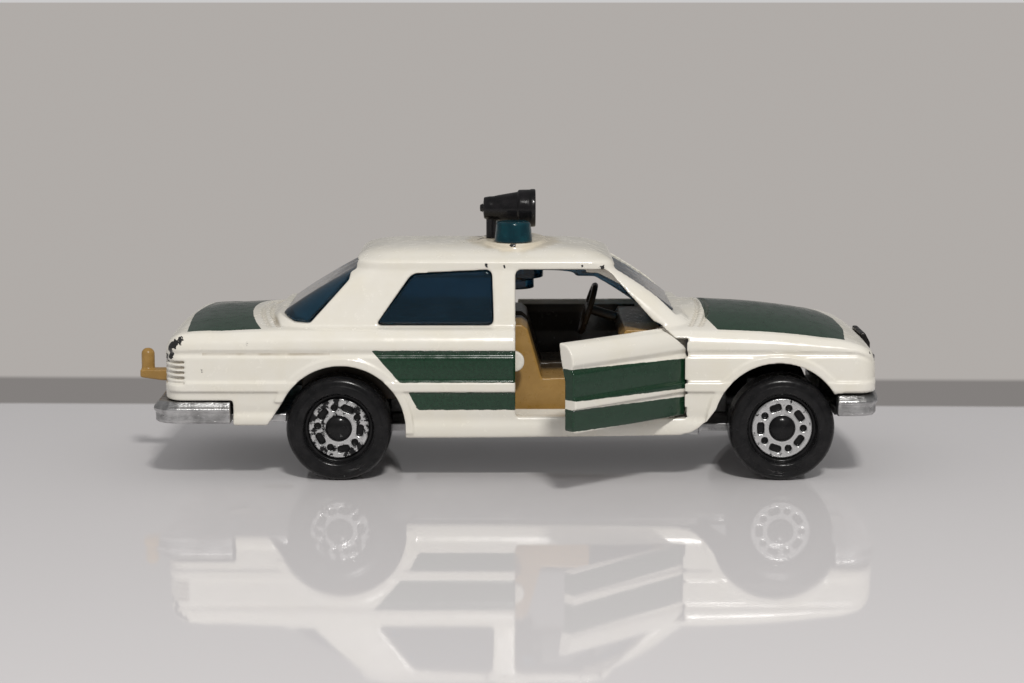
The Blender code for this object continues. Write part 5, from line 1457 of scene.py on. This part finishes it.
def makeWheel(name, axle, side, start, worn):
    wheel = turned(name, wheelProfile(), 128)
    low, (half, length) = -hub["recess"] - 0.55, hub["dash"]
    dot = cylinder("dot", (0, 0), "z", hub["dot"], low, 1.0, 20)
    corners = [(-half, -length), (half, -length), (half, length), (-half, length)]
    dash = prism("dash", rounded(corners, 0.25, 3), "z", low, 1.0)
    dots = ringOf(dot, hub["count"], hub["middle"], start)
    dashes = ringOf(dash, hub["count"], hub["middle"], start + math.pi / hub["count"])
    combine(wheel, [dots, dashes])
    softened(wheel, 0.075, 2, 90000)
    outwards = Matrix.Rotation(math.radians(-90 * side), 4, "X")
    wheel.data.transform(Matrix.Translation((axle, side * car["wheelFace"], car["wheelRadius"])) @ outwards)
    where = "front" if axle > 0 else "rear"
    hand = "right" if side < 0 else "left"
    material = wheelMaterial(name + "Material", axle, side, worn)
    body, node = "%s_%s_wheel" % (where, hand), "wheel_%s_%s" % (where, hand)
    return finished(wheel, material, body, "black_plastic", node)


makeWheel("frontRightWheel", frontAxle, -1, 0.0, 0.34)
makeWheel("frontLeftWheel", frontAxle, 1, 0.7, 0.42)
makeWheel("rearRightWheel", rearAxle, -1, math.radians(30), 0.45)
makeWheel("rearLeftWheel", rearAxle, 1, 0.3, 0.45)
for node in ("front_axle", "rear_axle", "front_axle_spring", "rear_axle_spring"):
    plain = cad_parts[node]
    plain.data.materials.clear()
    plain.data.materials.append(steel)
print("stage 8: wheels ready")


# Roof kit

def makeHorn():
    length, mouth, back = roofKit["hornLength"], roofKit["mouth"], roofKit["back"]
    profile = [
        (0, 0.9),
        (mouth * 0.45, 1.1),
        (mouth - 0.45, length - 0.5),
        (mouth - 0.33, length - 0.05),
        (mouth - 0.25, length),
        (mouth - 0.08, length),
        (mouth, length - 0.1),
        (mouth, length - 0.5),
        (mouth - 0.06, length - 0.6),
        (mouth - 0.08, 0.69 * length),
        (mouth - 0.14, 0.67 * length),
        (mouth - 0.3, 0.66 * length),
        (back + 0.15, 0.3 * length),
        (back + 0.02, 0.2 * length),
        (back, 0.12 * length),
        (back - 0.1, 0.02 * length),
        (back * 0.35, 0),
        (back * 0.3, -0.3),
        (0, -0.35),
    ]
    bell = turned("hornBell", profile)
    axis = roofKit["height"] + roofKit["hornAxis"]
    start = Matrix.Translation((roofKit["centre"] - roofKit["hornBack"], 0, axis))
    bell.data.transform(start @ Matrix.Rotation(math.radians(90), 4, "Y"))
    centre = (roofKit["centre"] - roofKit["footBack"], 0)
    foot = cylinder("hornFoot", centre, "z", roofKit["foot"], roofKit["height"] - 0.4, axis - 0.6 * back)
    combine(bell, [foot], "UNION")
    softened(bell, 0.07, 2, 60000)
    return finished(bell, black, "chassis", "black_plastic", "horn")


def makeBeacon(side, name):
    radius, low = roofKit["beaconRadius"], roofKit["height"] + 0.03
    top, stemFoot = low + roofKit["beaconHeight"], cabin["roof"] - 2.6
    profile = [
        (0, top),
        (radius * 0.7, top - 0.03),
        *quarterTurn((radius * 0.7, top - 0.03), radius * 0.2, 0.35, 6),
        (radius, low + 0.1),
        (radius - 0.05, low),
        (roofKit["stem"], low),
        (roofKit["stem"], stemFoot),
        (0, stemFoot),
    ]
    lens = turned(name, profile)
    lens.data.transform(Matrix.Translation((roofKit["centre"], side * roofKit["beaconOffset"], 0)))
    softened(lens, 0.07, 2, 40000)
    return finished(lens, teal, "chassis", "beacon_lens", "beacon_right" if side < 0 else "beacon_left")


makeHorn()
makeBeacon(-1, "rightBeaconLens")
makeBeacon(1, "leftBeaconLens")
print("stage 9: roof kit ready")


# Floor, light and camera

stageLook = {
    "white": (0.63, 0.615, 0.62),
    # Painted shade for the strip where the floor meets the backdrop
    "band": (0.225, 0.211, 0.203),
    "wall": (0.435, 0.410, 0.390),
    "floorReach": 60000,
    "bandStart": 32.5,
    "wallStart": 51.5,
    "world": (0.60, 0.59, 0.59),
    "mirrored": 0.3,
    "lampPlace": (0.07, -0.47, 0.47),
    "lampSize": (0.08, 0.07),
    "lampPower": 2.9,
    "lampColour": (1.0, 0.98, 0.95),
    "eye": (-0.00505, -0.2485, 0.0451),
    "tilt": 81.57,
    "focalLength": 80.86,
}


def floorMaterial():
    mat, tree, place = newMaterial("polishedFloor")
    x, y, z = split(tree, place)
    slant = calc(tree, "MULTIPLY_ADD", x, 0.02, y)
    waver = calc(tree, "MULTIPLY_ADD", noise(tree, place, 0.02, 2.0), 2.0, slant)
    # Painted shade: a darker band across the floor where it meets the backdrop
    first = ramp(tree, waver, stageLook["bandStart"], stageLook["bandStart"] + 2.5)
    second = ramp(tree, waver, stageLook["wallStart"], stageLook["wallStart"] + 4)
    colour = blendColour(tree, first, stageLook["white"], stageLook["band"])
    gloss = mottle(tree, place, (0.05, 3.0), (0.3, 0.7, 0.03, 0.05))
    shader = tree.nodes["Principled BSDF"]
    plug(tree, shader.inputs["Base Color"], blendColour(tree, second, colour, stageLook["wall"]))
    for key, near, beyond in (("Roughness", gloss, 0.9), ("Specular IOR Level", 0.5, 0.05)):
        mixed = addNode(tree, "ShaderNodeMix", {"data_type": "FLOAT"}, i0=first, i2=near, i3=beyond)
        plug(tree, shader.inputs[key], mixed.outputs[0])

    # Beyond the floor the eye, mirrors and glass see the backdrop's own flat colour as emission, with its
    # band of painted shade next to the floor
    rays = addNode(tree, "ShaderNodeLightPath").outputs
    seen = calc(tree, "MAXIMUM", rays["Is Camera Ray"], rays["Is Glossy Ray"])
    seen = product(tree, calc(tree, "MAXIMUM", seen, rays["Is Transmission Ray"]), first)
    backdrop = blendColour(tree, second, stageLook["band"], stageLook["wall"])
    flat = addNode(tree, "ShaderNodeEmission", Color=backdrop).outputs[0]
    mixed = addNode(tree, "ShaderNodeMixShader", i0=seen, i1=shader.outputs[0], i2=flat)
    tree.links.new(mixed.outputs[0], tree.nodes["Material Output"].inputs["Surface"])
    return mat


def areaLamp(name, place, target, size, power, colour):
    data = bpy.data.lights.new(name, "AREA")
    data.shape = "RECTANGLE"
    data.size, data.size_y = size
    data.energy = power
    data.color = colour
    lamp = bpy.data.objects.new(name, data)
    lamp.location = place
    lamp.rotation_euler = (Vector(target) - Vector(place)).to_track_quat("-Z", "Y").to_euler()
    bpy.context.scene.collection.objects.link(lamp)
    return lamp


shape = bmesh.new()
bmesh.ops.create_grid(shape, x_segments=1, y_segments=1, size=stageLook["floorReach"])
floorSheet = newObject("floorSheet", shape)
floorSheet.data.transform(toFrame)
floorSheet.data.materials.append(floorMaterial())

world = bpy.data.worlds.new("softRoom")
bpy.context.scene.world = world
world.use_nodes = True
background = world.node_tree.nodes["Background"]
background.inputs["Color"].default_value = (*stageLook["world"], 1.0)
# Glossy faces see a room that is darker than the light it gives
glossy = addNode(world.node_tree, "ShaderNodeLightPath").outputs["Is Glossy Ray"]
level = calc(world.node_tree, "MULTIPLY_ADD", glossy, stageLook["mirrored"] - 1.0, 1.0)
world.node_tree.links.new(level, background.inputs["Strength"])

lampLook = (stageLook[key] for key in ("lampSize", "lampPower", "lampColour"))
areaLamp("frontLamp", stageLook["lampPlace"], (0, 0, 0), *lampLook)

lens = bpy.data.cameras.new("camera")
lens.lens = stageLook["focalLength"]
lens.sensor_width = 36.0
lens.clip_start = 0.01
camera = bpy.data.objects.new("camera", lens)
camera.location = stageLook["eye"]
camera.rotation_euler = (math.radians(stageLook["tilt"]), 0, 0)
bpy.context.scene.collection.objects.link(camera)
bpy.context.scene.camera = camera
bpy.context.scene.view_settings.view_transform = "Standard"

print("stage 10: stage and camera ready")
